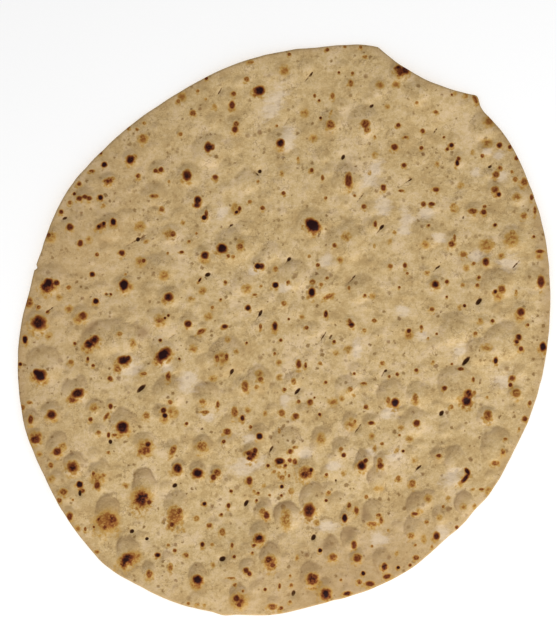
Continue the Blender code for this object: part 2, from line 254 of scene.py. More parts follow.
# Open docking slits: x, y, half length and half width in mm, darkness and turn in degrees
OPEN_SLITS = (
    (20, 191.2, 1.7, 0.7, 0.62, 60), (65.2, 167.4, 1.5, 1.0, 0.82, 35),
    (43.9, 129.2, 1.8, 1.1, 0.88, 65), (94.2, 112.2, 1.4, 0.65, 0.58, 40),
    (72.8, 76.8, 2.0, 1.0, 0.86, 50), (51.8, 39, 2.2, 0.6, 0.5, 50),
    (-18.5, 118.5, 1.3, 1.15, 0.88, 70), (-39.7, 78.3, 1.5, 0.75, 0.62, 25),
    (-57.6, 41.1, 1.9, 1.3, 0.88, 20), (3.4, 52.7, 1.6, 1.15, 0.86, 55),
    (-18.1, 12.3, 2.4, 1.0, 0.82, 65), (-39.5, -31.5, 2.0, 1.1, 0.86, 62),
    (115, 46.8, 1.9, 0.75, 0.68, 35), (145.4, 21, 2.6, 1.4, 0.92, 52),
    (135.8, -23.6, 3.6, 1.3, 0.95, 50), (117.6, -62.7, 2.0, 1.3, 0.9, 55),
    (100.5, -103.2, 2.2, 0.8, 0.76, 38), (-107.3, -44, 3.6, 1.4, 0.9, 42),
    (9.6, -46.2, 2.7, 1.0, 0.86, 50), (-9.8, -89.2, 2.4, 0.8, 0.68, 60),
    (-28.7, -130, 2.3, 1.2, 0.92, 60), (-46.5, -171.6, 2.1, 1.6, 1.0, 30),
    (21.7, -155.6, 2.1, 1.35, 0.98, 65), (-82.2, -116.8, 1.7, 1.3, 0.94, 35),
    (-114.3, -151, 1.5, 1.3, 0.92, 30), (-103.1, -156.6, 1.15, 1.05, 0.95, 0),
    (75.8, -30.8, 1.2, 0.9, 0.7, 35), (-130.5, -84, 1.5, 1.2, 0.9, 100),
    (-153.2, -122.4, 2.0, 1.0, 0.95, 95), (-62, -74.2, 1.2, 1.0, 0.5, 0),
    (133.8, 84, 1.1, 0.7, 0.46, 80), (38.5, -113.2, 1.2, 0.8, 0.6, 95),
    (-109.8, 67.6, 1.4, 1.2, 0.95, 60), (6.7, -197.2, 2.0, 1.3, 0.74, 70),
    (34.6, -5.4, 2.0, 0.9, 0.5, 60), (153.8, 122, 1.3, 0.9, 0.72, 30),
    (-164.4, 83.3, 1.7, 0.9, 0.76, 25), (26, 72, 3.0, 1.1, 0.4, 70),
)

# Closed slits and the drawn-out ends of open ones: x, y and half length in mm, darkness and
# turn in degrees, and their half width in mm
CLOSED_SLITS = (
    (18.3, 189.4, 4.6, 0.42, 50), (91.5, 110.6, 3.6, 0.36, 35), (70.6, 74, 3.4, 0.36, 52),
    (49.8, 37, 4.0, 0.36, 50), (-20.6, 116.4, 1.6, 0.6, -40), (-41, 77, 3.0, 0.3, 45),
    (1.6, 50.6, 2.6, 0.32, 52), (-20, 9.4, 2.6, 0.32, 60), (-40.6, -34, 2.4, 0.32, 60),
    (113, 45, 3.0, 0.34, 42), (99, -105, 3.0, 0.32, 48), (73.6, -33.4, 2.6, 0.42, 62),
    (-11.4, -91.8, 2.8, 0.32, 60), (-110, 67.4, 9.6, 0.44, 30), (57, 99, 4.6, 0.42, 52),
    (2, 156, 4.6, 0.3, 57), (29.2, -4.6, 3.4, 0.56, 58), (55, -74, 4.2, 0.5, 55),
    (173, 48.5, 4.2, 0.54, 48), (-84, -5, 3.6, 0.3, 35), (113.2, 149.4, 3.2, 0.5, 55),
    (155.4, 123.8, 3.4, 0.38, 48), (-48.6, 178.2, 3.2, 0.5, 60), (-132.5, 26.6, 2.6, 0.4, 15),
    (-156, -10.5, 3, 0.3, 58), (-174.8, 15.6, 3.4, 0.5, 35),
)
CLOSED_HALF_WIDTH = 0.55

# Crisp scorch spots: x, y and half width in mm, then half height and turn in degrees where they
# differ from a round one. The blackest come first, then dark brown, then brown.
CHARRED_SPOTS = (
    (-115.5, 127, 2.8), (-134.8, 123.4, 1.9), (-18.5, 179, 3.3), (-57.2, 136.5, 2.4, 3.4),
    (-3, 139.5, 2.8), (-73, 115.5, 2.9, 3.8), (90.4, 194, 2.8, 3.2), (129.2, 124.5, 1.4, 2.2),
    (157.5, 78.3, 1.3), (150.7, 50.5, 2.2, 2.9), (113, 33.8, 2.6), (191.8, 35.7, 2.6, 4),
    (134.8, 17.8, 1.2), (177, 13, 2.9), (-137.7, 98.7, 1.9), (-160.5, 76.5, 2.5),
    (-128, 80.5, 2, 2.6), (-144, 41.2, 1.9), (-176.5, 35, 3), (-120.3, 33.3, 3, 3.8),
    (-141.3, 21.2, 2.1), (-184, 5, 5), (-65, 97, 2.6), (-60.3, 83.8, 1.7),
    (-46.8, 60.7, 3.6, 3.2), (-59.5, 55.5, 2.8), (-20.3, 47.5, 2), (-6.8, 33.2, 2.1),
    (-86.8, 24.3, 3), (-27.5, 16.2, 2), (-72.3, 4.3, 2.4), (-7.2, 2.5, 1.9, 3),
    (19.6, 79.4, 3.7), (22.4, 77, 3.9), (20.5, 27.7, 2.4, 3.3), (-194.3, -7.5, 1.8, 2.8),
    (-198, -26, 1.4), (-121, -23, 3.8, 3), (-182.5, -34.5, 4), (-186, -32, 2.3),
    (-154.8, -47.7, 4.6, 3.2, 18), (-174.3, -63.7, 3.2), (-121.4, -73.4, 4.3), (-170.3, -91.5, 2.8),
    (-102.3, -86, 2), (-90.5, -18.5, 5.4, 3.6, 38), (-89.5, -64.5, 1.7), (-31.5, -66.5, 1.6, 2.1),
    (-18.8, -80, 2.2), (-3.5, -98.7, 3.2, 2.3), (-80, -104, 3, 3.3), (10.7, -26, 1.9, 3),
    (82.7, -55, 2.7, 3.2), (88.9, -91, 1.1), (57.8, -102, 3, 3.3), (71.8, -102, 2.3),
    (193.7, -13, 2.3, 3.3), (158, -23.3, 1.6, 2.4), (138, -47.5, 1.8, 2.5), (136.5, -54, 3.3, 3),
    (136.8, -106, 1.5, 2.8, 32), (135, -111.5, 1.6, 4.4, -41), (113.7, -154.5, 2.3, 2.8),
    (-153.3, -116, 2.3), (-107.5, -127, 3.2, 4.5), (-118, -171.5, 4, 2.6, 35),
    (-65, -107.5, 3.6, 3.2), (-26.3, -113.3, 2.1, 2.8), (-2, -117.7, 1.4), (-60, -130.5, 1.5),
    (-95, -168.8, 2.1, 1.6), (-61.5, -161, 1.5, 1.9), (-65, -187, 2.8), (-13.3, -139.3, 2, 2.6),
    (-19, -156, 2.1, 1.7), (-28.7, -180, 2), (-36, -201, 2.5), (18.5, -135.5, 3.8, 4.8),
    (48.3, -131.7, 1.5, 1.9), (45, -141.3, 1.8, 2.8), (26.7, -165.5, 1.5), (85.2, -178.2, 1.3),
    (59, -182.5, 1.5),
)
DARK_SPOTS = (
    (-131, 111.5, 2.2), (-109.5, 115, 1.7), (-153.7, 109, 1.8), (-58.5, 188, 1.2),
    (-38.2, 176.3, 1.8), (-39.3, 168, 2, 2.8), (-68.5, 162, 2.2), (-36, 154, 1.8),
    (-37, 149.5, 2.2), (-52, 114, 1.9), (-92.5, 119.8, 1.8), (-96.5, 118.8, 1.6),
    (32, 209.5, 1.4), (45.3, 212, 1.1), (51, 192, 1.1), (27, 158.5, 1), (34.5, 153.5, 2.8, 3.3),
    (60.5, 154, 3), (85.2, 153, 1.6), (85.4, 196.2, 1.8, 1.5), (86.6, 191.8, 1.6, 2.0),
    (82.3, 136.5, 2.3), (20.3, 119.3, 1.6),
    (48, 111.5, 2.5, 5), (74, 106.2, 1.9, 2.3), (103.3, 148.5, 1.7), (102.5, 136, 1.4),
    (125, 138, 1.7), (122, 135, 1.2), (148, 130, 1.3), (161, 138, 2), (168.8, 136.7, 1.5),
    (173.8, 128.3, 1.6), (158.2, 116, 2.3), (142.9, 172.3, 1.5, 3.3, 27),
    (125.2, 175.8, 0.9), (113.5, 104.8, 2.3, 1.8), (110.3, 94, 2.2, 1.4), (160.5, 101, 1.6),
    (185, 99, 1.3, 2), (149.8, 92, 1.3), (149, 88, 1.9), (108, 78, 1.1),
    (125, 64, 2.2), (141.7, 49.5, 1.2), (191, 58.5, 3, 1.3), (186.5, 69.5, 1.1),
    (157.5, 28.3, 1.5), (121.5, 24.5, 0.9), (155.8, 6.5, 1.4), (-157.3, 101.5, 1.2),
    (-153.5, 98, 2, 1.8), (-149.5, 99.2, 1.9, 1.6), (-146, 98, 1.8, 1.6), (-167, 88, 1.6),
    (-139, 77, 1.3), (-135, 79.2, 1.4), (-152.7, 64.5, 1.9, 2.4), (-176.5, 70.5, 1.8),
    (-121.8, 57.3, 2.2), (-140.3, 56.1, 1.4), (-105.5, 51.5, 1.5), (-170.5, 35, 2),
    (-179.5, 32, 2), (-184, 16.7, 1.4), (-133.5, 26.5, 1), (-130, 26.3, 1), (-151, 10.3, 3),
    (-65.5, 93, 2), (-36, 88, 1.5, 1.1, 30), (-33.6, 90.4, 1.3, 1.8), (-16.3, 91, 1.6),
    (-0.7, 102, 1.4), (-33.3, 62, 2.4), (-17, 47.2, 2), (-63.5, 37, 0.8, 2, -30),
    (-54, 16.5, 1.2), (-94, 6, 1.1), (-89.5, 8.5, 1), (-87, 10.5, 1), (-44.7, 2.2, 2.2, 1.6),
    (-18, 2.3, 1.1, 1.9), (30.8, 98.5, 1.2), (90.3, 48, 1.4, 2), (92, 42, 1), (32, 38.5, 1.1),
    (60.2, 25.8, 1.1), (31, 11.5, 1.4, 2.4), (50.2, 3.5, 2), (67.2, 6.7, 1.6), (16.5, 1.3, 1.4),
    (93, -1, 1.7), (-147, -11, 2.8), (-117, -21.5, 1.8), (-147.3, -22, 1, 1.6),
    (-130.7, -36.8, 1.8), (-159.5, -53, 2.3), (-130.2, -57.5, 1.5, 2), (-139.2, -77.3, 1.6),
    (-131.8, -79, 1.2, 1.9), (-190, -67.5, 1.8, 3), (-186.8, -82.5, 3.8, 2.7), (-158.5, -103.5, 2.1),
    (-62.5, -1.5, 3.3, 1.7, 30), (-93, -8, 1.2), (-78.8, -22, 0.9), (-28.3, -10, 0.9),
    (-7.3, -18, 1), (-2.8, -8, 1.2), (-18, -37.3, 2.2), (0, -45, 1.3), (-90.5, -60.5, 2),
    (-73.3, -70.5, 1.2), (-25.5, -73, 1.3), (-45.5, -84, 1.4), (-83.5, -90.5, 2, 3.8, -25),
    (-27.6, -92.4, 1.6, 1.5), (-24, -94, 2.1, 1.7), (-22, -90.5, 1.6, 1.9), (-26.5, -96.5, 1.7, 1.3),
    (-12.3, -102, 1.3), (-7.8, -106.5, 1.2), (37.2, -9, 1.2), (52.3, -33, 1), (78.4, -35.3, 1.1),
    (84.5, -33.5, 1.3), (98.8, -30.5, 1.4), (30.8, -39.5, 1.2), (19.2, -54.5, 2.2),
    (26.3, -63.7, 1.2), (8.3, -65, 2.2), (64.8, -70, 2.3, 1.4), (99, -70.3, 2.4),
    (44.3, -94, 1.6), (4.3, -91.3, 1.8), (4, -98, 1.5), (7.8, -99, 1.5, 2.2), (0.5, -102, 1.2),
    (60.7, -98, 1.6), (114, -3.2, 0.9), (175.3, -5.7, 2.1), (173.8, -9.3, 1.6),
    (177, -14.5, 1.8), (132, -29.5, 2.2, 1.2), (125.3, -25.8, 0.9), (169.2, -41.5, 1.4),
    (141.5, -37.5, 1, 1.8), (119.8, -44, 1.8), (183.8, -55.3, 1.2, 1.8), (129, -148, 1.3),
    (97.8, -161.5, 1.1), (98.5, -171, 2.3, 1.8), (-151, -121, 1.6), (-160.8, -140, 2.2, 3),
    (-149.2, -149.5, 1, 1.5), (-143, -108, 1.2, 2), (-140.3, -116.7, 2.2, 2.8),
    (-104, -124.5, 1.6), (-101.5, -129.5, 1.6), (-128.5, -142, 2.5), (-134.5, -148, 1),
    (-139, -142, 1), (-142.8, -148, 0.9), (-120.5, -176, 1.8), (-53.3, -110.8, 1.9),
    (-2.3, -124.3, 1), (-19.7, -122.5, 1), (-21, -128, 1), (-40, -121, 1.2),
    (-42, -132, 1.3, 1.8), (-47.3, -138.5, 1.1), (-78, -135.5, 1.5),
    (-39.2, -161.5, 1, 1.8), (-37.7, -170, 1.2), (-24, -167, 0.9),
    (-22.7, -161.5, 1.3, 0.9), (-12, -172, 1.9, 2.3), (-9, -176.5, 1.8, 1.5),
    (-26.2, -182.7, 1.6), (-32, -203, 2), (-34, -206, 1.8), (-2.5, -208.8, 1.5),
    (20, -105, 1.4), (31.5, -108.7, 1.2),
    (31.2, -128, 1.1), (70.5, -139, 1.8, 1.3), (72.5, -143, 1.5, 2.3), (97.5, -138, 2.5, 1.3),
    (94, -176.5, 1.2), (21, -187, 3.2, 3.4), (76.8, -185, 2.8, 1.8, 25), (74.7, -177.6, 1.9, 2.6),
    (64, -190.5, 3.2, 2), (31, -198, 2, 2.6), (-133.4, -65.2, 2.9, 1.4, 55),
    (47.2, -197.6, 2.4, 1.3, 15),
)
BROWN_SPOTS = (
    (-105, 154.5, 1.3), (-106, 143, 2.5, 3), (-110.5, 149.8, 1.2), (-116.5, 150.5, 1.5),
    (-112.5, 129, 2), (-144, 118.5, 2.2, 1.2), (-133.5, 110.5, 1.9), (-128.5, 113, 1.6),
    (-137.5, 132, 1.2), (-79.5, 171, 1.6), (-65, 178.5, 1.3), (-59, 172.5, 1),
    (-52.5, 167, 1.8), (-28.3, 187.3, 1.8), (-25.3, 200, 2.3, 1.5), (-22, 179, 2.2),
    (-54, 136.5, 1.6, 2), (-78, 146.3, 1.6), (-20, 111, 1), (-86.5, 110.8, 1), (-5.8, 152.5, 1),
    (3.5, 206, 1.3), (60.3, 204.5, 1.8, 1.1), (57, 211.5, 1.2), (40.7, 192.5, 0.9),
    (49.5, 184.5, 1.8, 2.3), (22.5, 175, 1, 1.5), (36, 175, 1.5, 2.2), (26, 171.5, 0.9),
    (35, 162.5, 0.9, 2.2, -20), (61.5, 149.5, 1.8), (84.8, 194.4, 3.0), (99, 169.5, 1.3),
    (91, 144, 2, 1), (67.5, 144, 1, 1.5), (10.2, 127.5, 1, 1.8), (28.5, 113.5, 1.2, 2),
    (89.5, 123, 1.7), (113, 162.8, 2, 1.2), (119.5, 144, 1), (130.5, 128, 1.5),
    (161.5, 121, 1.5), (170.3, 118, 1.2), (172.8, 112.3, 1.8), (179.5, 110.5, 2.5, 3),
    (135.5, 175, 1.8), (153, 156, 2.5), (104, 94, 1.8), (126.3, 93, 1.8), (157.5, 104.5, 2.4),
    (187.5, 89, 1.2, 3), (141, 88.5, 3.2, 2), (179, 85, 2.3), (127.3, 68.5, 1.2, 2.5),
    (170.5, 72, 2.2), (134, 56.5, 2.3), (107, 42.8, 1.8, 1.2), (121.5, 35.8, 1.5),
    (145.7, 39, 1.3), (144.5, 33, 1.4), (133.5, 33.7, 1.2), (162.5, 30, 2.8, 3),
    (173.5, 27.5, 1, 2), (110.5, 15, 1.9), (146.5, 6.7, 1.7), (182, 3.5, 1.2),
    (102.5, 1.5, 1.2, 1.8), (-135.3, 92.7, 1.4), (-160.5, 95, 1.6), (-137.5, 77.2, 3.6, 2.2, 25),
    (-119, 41.5, 0.8), (-161.5, 31.5, 1.6), (-191.5, 20.5, 3, 3.5), (-97.5, 99.7, 3, 1.6),
    (-58.5, 87, 1.2, 2.4), (-26, 95.5, 1.5), (-92, 90, 2), (-83.7, 71.5, 2), (-66, 72, 0.9),
    (-71.5, 66, 1.1), (-42, 55, 1.3), (-38.5, 54.5, 1.3), (-77, 58, 1.8, 1), (-87.5, 57, 1),
    (-6.5, 45.5, 1.4, 2.2), (-44.2, 35.5, 1.3), (-17.5, 32.7, 1), (-22.5, 26, 2, 1),
    (-47.7, 22.5, 0.9), (87.5, 104, 2, 1), (52.5, 100.3, 1), (59.5, 92, 1.8), (68, 79, 1.3, 2.2),
    (82.3, 72.8, 1.3), (37.5, 63, 1.6), (18.5, 55, 1.3), (25, 48.3, 1.4), (67.3, 62.5, 1, 1.7),
    (79.3, 47.5, 1.7), (2.8, 35.3, 1.4), (21, 35.5, 2), (27.5, 33.5, 1.5), (33, 24.8, 4.5, 1.6, 25),
    (48.2, 31, 1, 1.7), (86, 31.5, 1), (3.2, 7.8, 0.9), (48.5, 6.5, 1.6), (60, -0.5, 1.6),
    (-0.5, 19.5, 1.8), (-142, -7, 2.5), (-123.5, -3.3, 2.2, 1.6), (-157, -10.5, 1.2),
    (-143.3, -27, 1.2), (-160, -24.5, 2), (-105.5, -33, 2.5, 1.2), (-145.2, -67.3, 1.6),
    (-131.8, -92, 1.3), (-191, -54.5, 2, 1.2), (-196.5, -58.5, 2), (-175, -101.5, 1.9),
    (-158.5, -102.5, 4.2), (-109, -91.5, 0.9), (-103.5, -64.5, 2.5), (-94.5, -22.5, 2.4),
    (-50.5, -21.5, 1.6, 3), (-43.5, -20.5, 1.5, 2.8), (-87, -35, 1.8, 3), (-21, -43, 1.6),
    (-29.5, -42.5, 2.5, 4), (-85.5, -54.3, 1.7), (-61.5, -54, 2.2), (-59.5, -62, 3, 1.3),
    (-50, -56, 1.2, 2.5), (-37.3, -62, 2.2, 3.5), (-2.2, -62.5, 2.4), (-43, -76.5, 2.8, 2.2),
    (-4, -76, 1, 1.8), (-62, -87.5, 3.6), (15.8, -27, 1, 2.2), (26.7, -25.3, 1.3),
    (73.3, -25.3, 1.6), (6.8, -39, 1.7, 2.3), (59.5, -40.3, 2, 1), (49, -45, 1.9),
    (52, -49.5, 1.2), (10.5, -54, 1.3), (22.5, -51, 0.8), (61, -58, 1.6), (77.5, -53, 1.5, 2.4),
    (98, -51, 2, 3), (52.5, -69, 1.3), (86, -79, 0.9), (73, -85.5, 1.3), (42.3, -89.5, 1.5),
    (7.8, -88.3, 1.9, 1.2), (71.5, -98, 2), (142.8, -3, 1.5), (107.5, -6.5, 0.9),
    (111.3, -24.5, 1.2), (170.5, -36.5, 2.4, 2), (173.5, -47.5, 3.2), (151.7, -50.8, 1.1),
    (142, -47.5, 1.6), (124.8, -58, 1.6), (152.3, -64.5, 3, 3.7), (180, -67, 2),
    (175.7, -75, 1, 1.8), (165.3, -82, 1.8, 1.2), (163.5, -91.5, 1.7, 2.3), (157.7, -100, 3, 1.8),
    (115.5, -94.5, 2, 1.3), (141, -119.5, 1.2), (147.5, -119.5, 1.8, 1), (142.3, -132.5, 1.3, 2.2),
    (118.8, -132.5, 1), (106.5, -144, 1.3), (110.5, -163, 1, 2), (-165.5, -121.5, 2.8, 2.4),
    (-158.5, -127.5, 1), (-168.5, -128, 1.8), (-135.5, -109, 1.8, 1.2), (-107, -127, 6, 6.6),
    (-133, -143.5, 7.4, 6.8), (-140.5, -166.5, 1.6), (-101, -183, 2.3, 3),
    (-117.5, -172, 7.4, 4.6, 30), (-50.5, -107, 2.6), (-11.2, -124, 1), (-23, -121.5, 1.3),
    (-82, -139.5, 5.2, 6.6), (-66, -141.5, 2), (-56.2, -146.7, 2, 1.7), (-46.5, -151.5, 2, 2.6),
    (-87, -161.5, 1.2), (-82.2, -165.5, 1.4), (-73.8, -168.8, 1.8), (-54.3, -161, 1.4),
    (-85.3, -178, 1.7, 2.9), (-65, -187.5, 3.6), (-16.5, -136, 2.4), (-19, -156.5, 4.0, 3.6),
    (-10.5, -174, 4.2, 5.2), (-39.5, -186, 3, 0.9), (-37, -191, 1.5), (-31, -195.5, 1),
    (-65, -206, 1.6, 1), (-60, -206.3, 1.2), (-72, -205, 1.3), (-9, -207.5, 3.3, 2.5),
    (-14.5, -194.5, 1.2), (-3.7, -192, 1, 1.8), (16, -107.5, 4.8, 4.5), (15, -108.5, 1.8), (5, -121, 2.2),
    (85.3, -111.8, 1.8, 2.6), (95.7, -115.3, 2.2, 2.8), (61.3, -125.3, 1.4), (33, -122, 1.5),
    (53.7, -135.5, 1.8, 2.8), (65.5, -146, 3.5, 2), (77.6, -150.5, 1), (94.8, -154.5, 2.4),
    (52, -161.2, 1.9, 3), (36.3, -170.5, 2.8), (54.5, -171, 3), (65.5, -162.3, 1),
    (74.8, -177.5, 2.2), (21, -186.5, 4.6, 4.4), (56, -189, 1.9), (42.2, -187.5, 1),
    (4.2, -184.5, 1.1), (5, -191.5, 1.4), (31, -198, 4, 4.9), (4, -204, 1.2),
    (46.5, -198, 3.0, 1.7), (-2, -110.8, 1.8), (0.7, -107.5, 0.7, 1.8), (3.4, -109.6, 0.9, 1.3),
    (-4.1, -107.6, 1.2), (-127, -79, 1.6, 1.1), (-177.5, 32, 5, 4), (-166.5, -87.5, 3, 1.5, 50),
    (136.9, -50.5, 3.2, 4.6), (-184.5, -79.5, 2.6), (-24.6, -93.6, 3.6, 4),
    (-143.9, -9.6, 5.6, 3.2, 38), (-177.5, 13.3, 1.4, 0.9, 40), (-84.5, -146, 1.6),
    (-104.5, -91, 4.2, 2.8), (-125, -29.5, 2.6, 2.2),
)

# Soft ochre stains: x, y and half width in mm, then half height where it differs
OCHRE_STAINS = (
    (-106, 143, 4), (-77, 174, 3.4), (-3, 135.5, 3), (-2, 116.5, 2.2), (0, 194, 4), (71.5, 183, 3.2),
    (83.5, 183, 3), (88, 195, 5), (77, 167, 2), (68, 130.5, 2.4), (21.5, 143, 3),
    (63.5, 117.5, 1.8), (15, 162, 3.2), (114, 123.5, 2.2), (141, 132.7, 2), (151.5, 139.5, 4.2, 3.2),
    (127.5, 176.5, 1.7), (153, 156, 4.6), (132, 108, 2.4), (127, 90, 3), (174, 99, 3.4),
    (169.5, 67, 5.4), (151.5, 63, 5.4), (162.5, 55, 2.6), (105, 63.5, 3), (136, 46, 2.4),
    (191, 55, 3), (160, 24.5, 3.4), (131.7, 16.5, 2.2), (176, 8.5, 3.4), (-108.5, 77, 4),
    (-146, 67, 2.4, 3), (-175, 69.5, 4.4), (-103.5, 65.7, 2.4, 1.6), (-108, 50.5, 4),
    (-179.5, 28, 3), (-117, 32, 3.6), (-168.5, 24, 2.4), (-161.5, 15.5, 3), (-154.5, 7.5, 3.6),
    (-36.5, 91, 3.6), (-87, 71.5, 4), (-76, 80, 1.8), (-33, 65, 2.6), (-60, 52, 3.4),
    (-90.3, 40.5, 3.6), (-28.5, 30.5, 3.6), (-61.5, 29, 2.8), (-70, 22.7, 3, 2), (-93, 6.5, 5),
    (-57, 9.5, 3), (46, 69.5, 3.8), (78.8, 65.5, 1.8, 2.4), (41.5, 52, 2.4), (66, 25, 2.4),
    (13, 9.3, 2.2, 1.4), (93, -4, 3.4), (-176.5, -5, 2.8), (-145.5, -15, 2.6), (-113.5, -10.5, 2.6, 3.6),
    (-125.5, -28.5, 3.2), (-187.5, -36.5, 3.2), (-142.3, -58.5, 3.8, 3.2), (-188, -79, 3.4),
    (-166.5, -88.5, 3.4), (-183.5, -93, 2.2), (-104, -87.5, 6.4, 5.4), (-68.5, -14.5, 3),
    (-42.5, -7.5, 2.4), (-47, -21.5, 5), (-36, -16.5, 2), (-53.5, -36.5, 3.2, 2.6),
    (-19, -33.5, 3), (-4, -25, 2.2), (-3.7, -36, 2.4), (-84, -62.5, 4.4), (-90, -67, 3.4),
    (-27.5, -60.5, 2.2), (-14.5, -63, 1.6, 2.4), (-84, -107, 3), (47.5, -15, 3.2),
    (38.5, -17.5, 2.1), (36, -54.5, 4, 3.4), (43, -52, 2), (49.5, -71, 4.4), (27.3, -82, 3.4, 4.4),
    (87, -74, 2.3), (93.5, -82, 2.6), (67.5, -89, 1.7, 2.4), (83.8, -91, 2), (98, -54.5, 2.6),
    (97, -97.5, 2.2), (65.5, -79.5, 2.4), (151, -13.5, 4.4, 3), (132, -52.5, 3), (152.5, -121, 3),
    (107.5, -126.5, 3), (122.5, -127, 2.2), (133.5, -132.5, 2.4), (116, -140.5, 2.2),
    (104.5, -157, 2.2, 3.2), (-174.5, -112, 2.8), (-154.8, -149, 2.4), (-140, -112, 5.4),
    (-119, -117, 2.8, 2.2), (-107, -126, 8), (-110, -170, 3.4), (-133, -143.5, 9), (-15.3, -117.5, 1.7),
    (-75.5, -150.5, 2.4, 1.6), (-53.5, -176, 1.7, 2.4), (-66, -192, 3.4), (-34, -203, 6.6),
    (44.5, -107.5, 2.2), (70.5, -119.5, 4, 2), (24, -145, 2.4), (1, -142, 4, 8), (101, -136.5, 2.6),
    (9.5, -171, 1.5, 2.2), (84, -168, 1.8),
)

# Patches of flour: x, y, both half widths in mm and turn in degrees
FLOUR_PATCHES = (
    (-8.5, 169, 11, 5, 60), (2, 141, 8, 4, 80), (66, 117, 9, 4, 62), (74, 92, 5, 5, 0),
    (91, 80, 9, 4, 80), (106, 87, 4.5, 4, 0), (116, 68, 4, 3, 0), (-47, 88, 3.5, 3, 0),
    (31, 52, 4.5, 3.5, 60), (0, 31, 4, 3, 0), (143, 55, 4.5, 3.5, 0), (168, 50, 6, 5, 30),
    (-23, 44, 3.5, 2.5, 0), (-115, -30, 6, 5, 40), (-88, -28, 4, 3, 0), (-72, -39, 7, 6, 60),
    (-58, -65, 4, 3, 0), (-26, -82, 4, 3, 0), (-29, -102, 9, 5, 20), (1, -53, 4, 3, 60),
    (16, -92, 4, 3, 0), (65, -92, 3, 2, 0), (36, -103, 4, 3, 0), (83, -95, 4.5, 3.5, 0),
    (78, -62, 5, 4, 40), (71, -157, 5, 4, 0), (32, -147, 6, 3, 0), (163, -38, 5, 4, 0),
    (104, -5, 4, 3, 0), (131, -16, 4, 3, 60), (89, 14, 4, 3, 0), (54, -15, 5, 2.4, 80),
    (125, -112, 6, 5, 30), (161, 131, 3, 2.5, 0), (152, 133, 3, 2.5, 0), (163, 115, 4, 3, 0),
    (143, 117, 3, 2.5, 0), (118, -152, 5, 4, 40),
)

# How far the dust of a patch of flour spreads, for its half widths
FLOUR_SPREAD = 1.45

# Painted shade near the rim, stronger on some sides: angle and half width in degrees, strength and reach
# in mm
RIM_SHADE_SIDES = (
    (158, 62, 0.42, 130), (205, 36, 0.3, 60), (248, 26, 0.22, 40), (284, 46, 0.66, 80),
    (186, 66, 0.66, 14), (14, 44, 0.62, 12),
)

# Painted shade on some folds and blister sides: x, y, both half widths in mm and turn in degrees, and its
# strength
PAINTED_FOLD_SHADE = (
    (-144.3, 2.3, 6.5, 3.6, 45), (48.4, -152.3, 3.4, 5.6, 20), (60.4, -138.8, 3.8, 6, 15),
    (32, -161.5, 5.6, 4.4, 0), (-106, -2.5, 5, 4, 30),
)
FOLD_SHADE_TONE = 0.95

# Burning of each kind of spot: strength, from 0 for plain crust to 1 for charred, and how much
# it varies from spot to spot
CHARRED = (0.95, 0.28)
DARK = (0.75, 0.22)
BROWN = (0.6, 0.4)

# Lumps over which the burning varies, in mm, their seed, and the half width in mm above which
# a spot varies less
SPOT_LUMP = 5.0
SPOT_SEED = 51
EVEN_HALF_WIDTH = 1.8

# How much weaker the charred spots are near the near edge, and where in y that starts and its
# width, in mm
NEAR_FADE = 0.06
NEAR_FADE_START = -60.0
NEAR_FADE_WIDTH = 60.0

# Marks on the corners of the mesh: how far from a spot's middle it is looked for, in mm, and
# distances in its own frame at which it ends and that stand for no spot
SPOT_REACH = 24.0
SPOT_END = 6.0
NO_SPOT = 9.0

# Soft patches: how far they reach and how wide they are, for their half widths
SOFT_REACH = 2.0
SOFT_WIDTH = 1.8

# Small nick in the rim: angle and half width in degrees, depth in mm
NICK_ANGLE = 165.6
NICK_HALF_WIDTH = 0.7
NICK_DEPTH = 1.8

# Grid of the mesh: cells across the face and the underside, and insets of the outer rows in mm
FACE_CELLS = 256
UNDERSIDE_CELLS = 128
FACE_INSETS = (0.0, 0.35, 0.9, 1.8, 3.2)
UNDERSIDE_INSETS = (0.5, 1.4, 3.2, 6.0)

# Places of the two faces in the unwrapped map and their radii, as shares of its side, and the
# margin round the bread in mm
MAP_FACE = (0.36, 0.64)
MAP_FACE_RADIUS = 0.352
MAP_UNDERSIDE = (0.775, 0.225)
MAP_UNDERSIDE_RADIUS = 0.213
MAP_MARGIN = 6.0

# Marks of the underside: how many, their seed, smallest and largest half width in mm, weakest
# and strongest
DARK_BELOW = (70, 7, 1.0, 4.2, 0.5, 0.9)
BROWN_BELOW = (210, 8, 1.2, 7.5, 0.28, 0.6)
STAINS_BELOW = (60, 9, 5.0, 22.0, 0.3, 0.5)
FLOUR_BELOW = (60, 10, 6.0, 26.0, 0.3, 0.5)

# Share of the underside's radius that they cover, how much more often they are small, and stretch
BELOW_SHARE = 0.96
BELOW_CROWDING = 2.2
BELOW_STRETCH = (0.75, 1.35)

# Marks that the materials read from the mesh, nearest spot first
SPOT_MARKS = ("dark_first", "dark_second", "brown_first", "brown_second")
SLIT_MARKS = ("slit_first", "slit_second")

# Kinds of socket of the node groups
NUMBER = "NodeSocketFloat"
VECTOR = "NodeSocketVector"
COLOUR = "NodeSocketColor"

# Unevenness of the crust's colour: size of the lumps in mm, their detail, roughness and share
TONE_LUMPS = (
    (38.0, 2.0, 0.5, 0.5), (9.0, 3.0, 0.6, 0.9), (2.6, 2.0, 0.55, 0.4), (1.1, 2.0, 0.6, 0.5),
)

# Steps of burning: socket, setting with its colour, and where it starts and is complete
BURN_STEPS = (
    ("Ochre", "ochre", 0.02, 0.28),
    ("Brown", "brown", 0.22, 0.48),
    ("Dark Brown", "dark_brown", 0.46, 0.7),
    ("Char", "char", 0.7, 0.92),
)

# Shine and roughness of the crust, how much smoother burning makes it and how much rougher
# flour does
CRUST_SHINE = 0.07
CRUST_ROUGHNESS = 0.78
BURN_GLOSS = 0.2
FLOUR_ROUGHNESS = 0.12

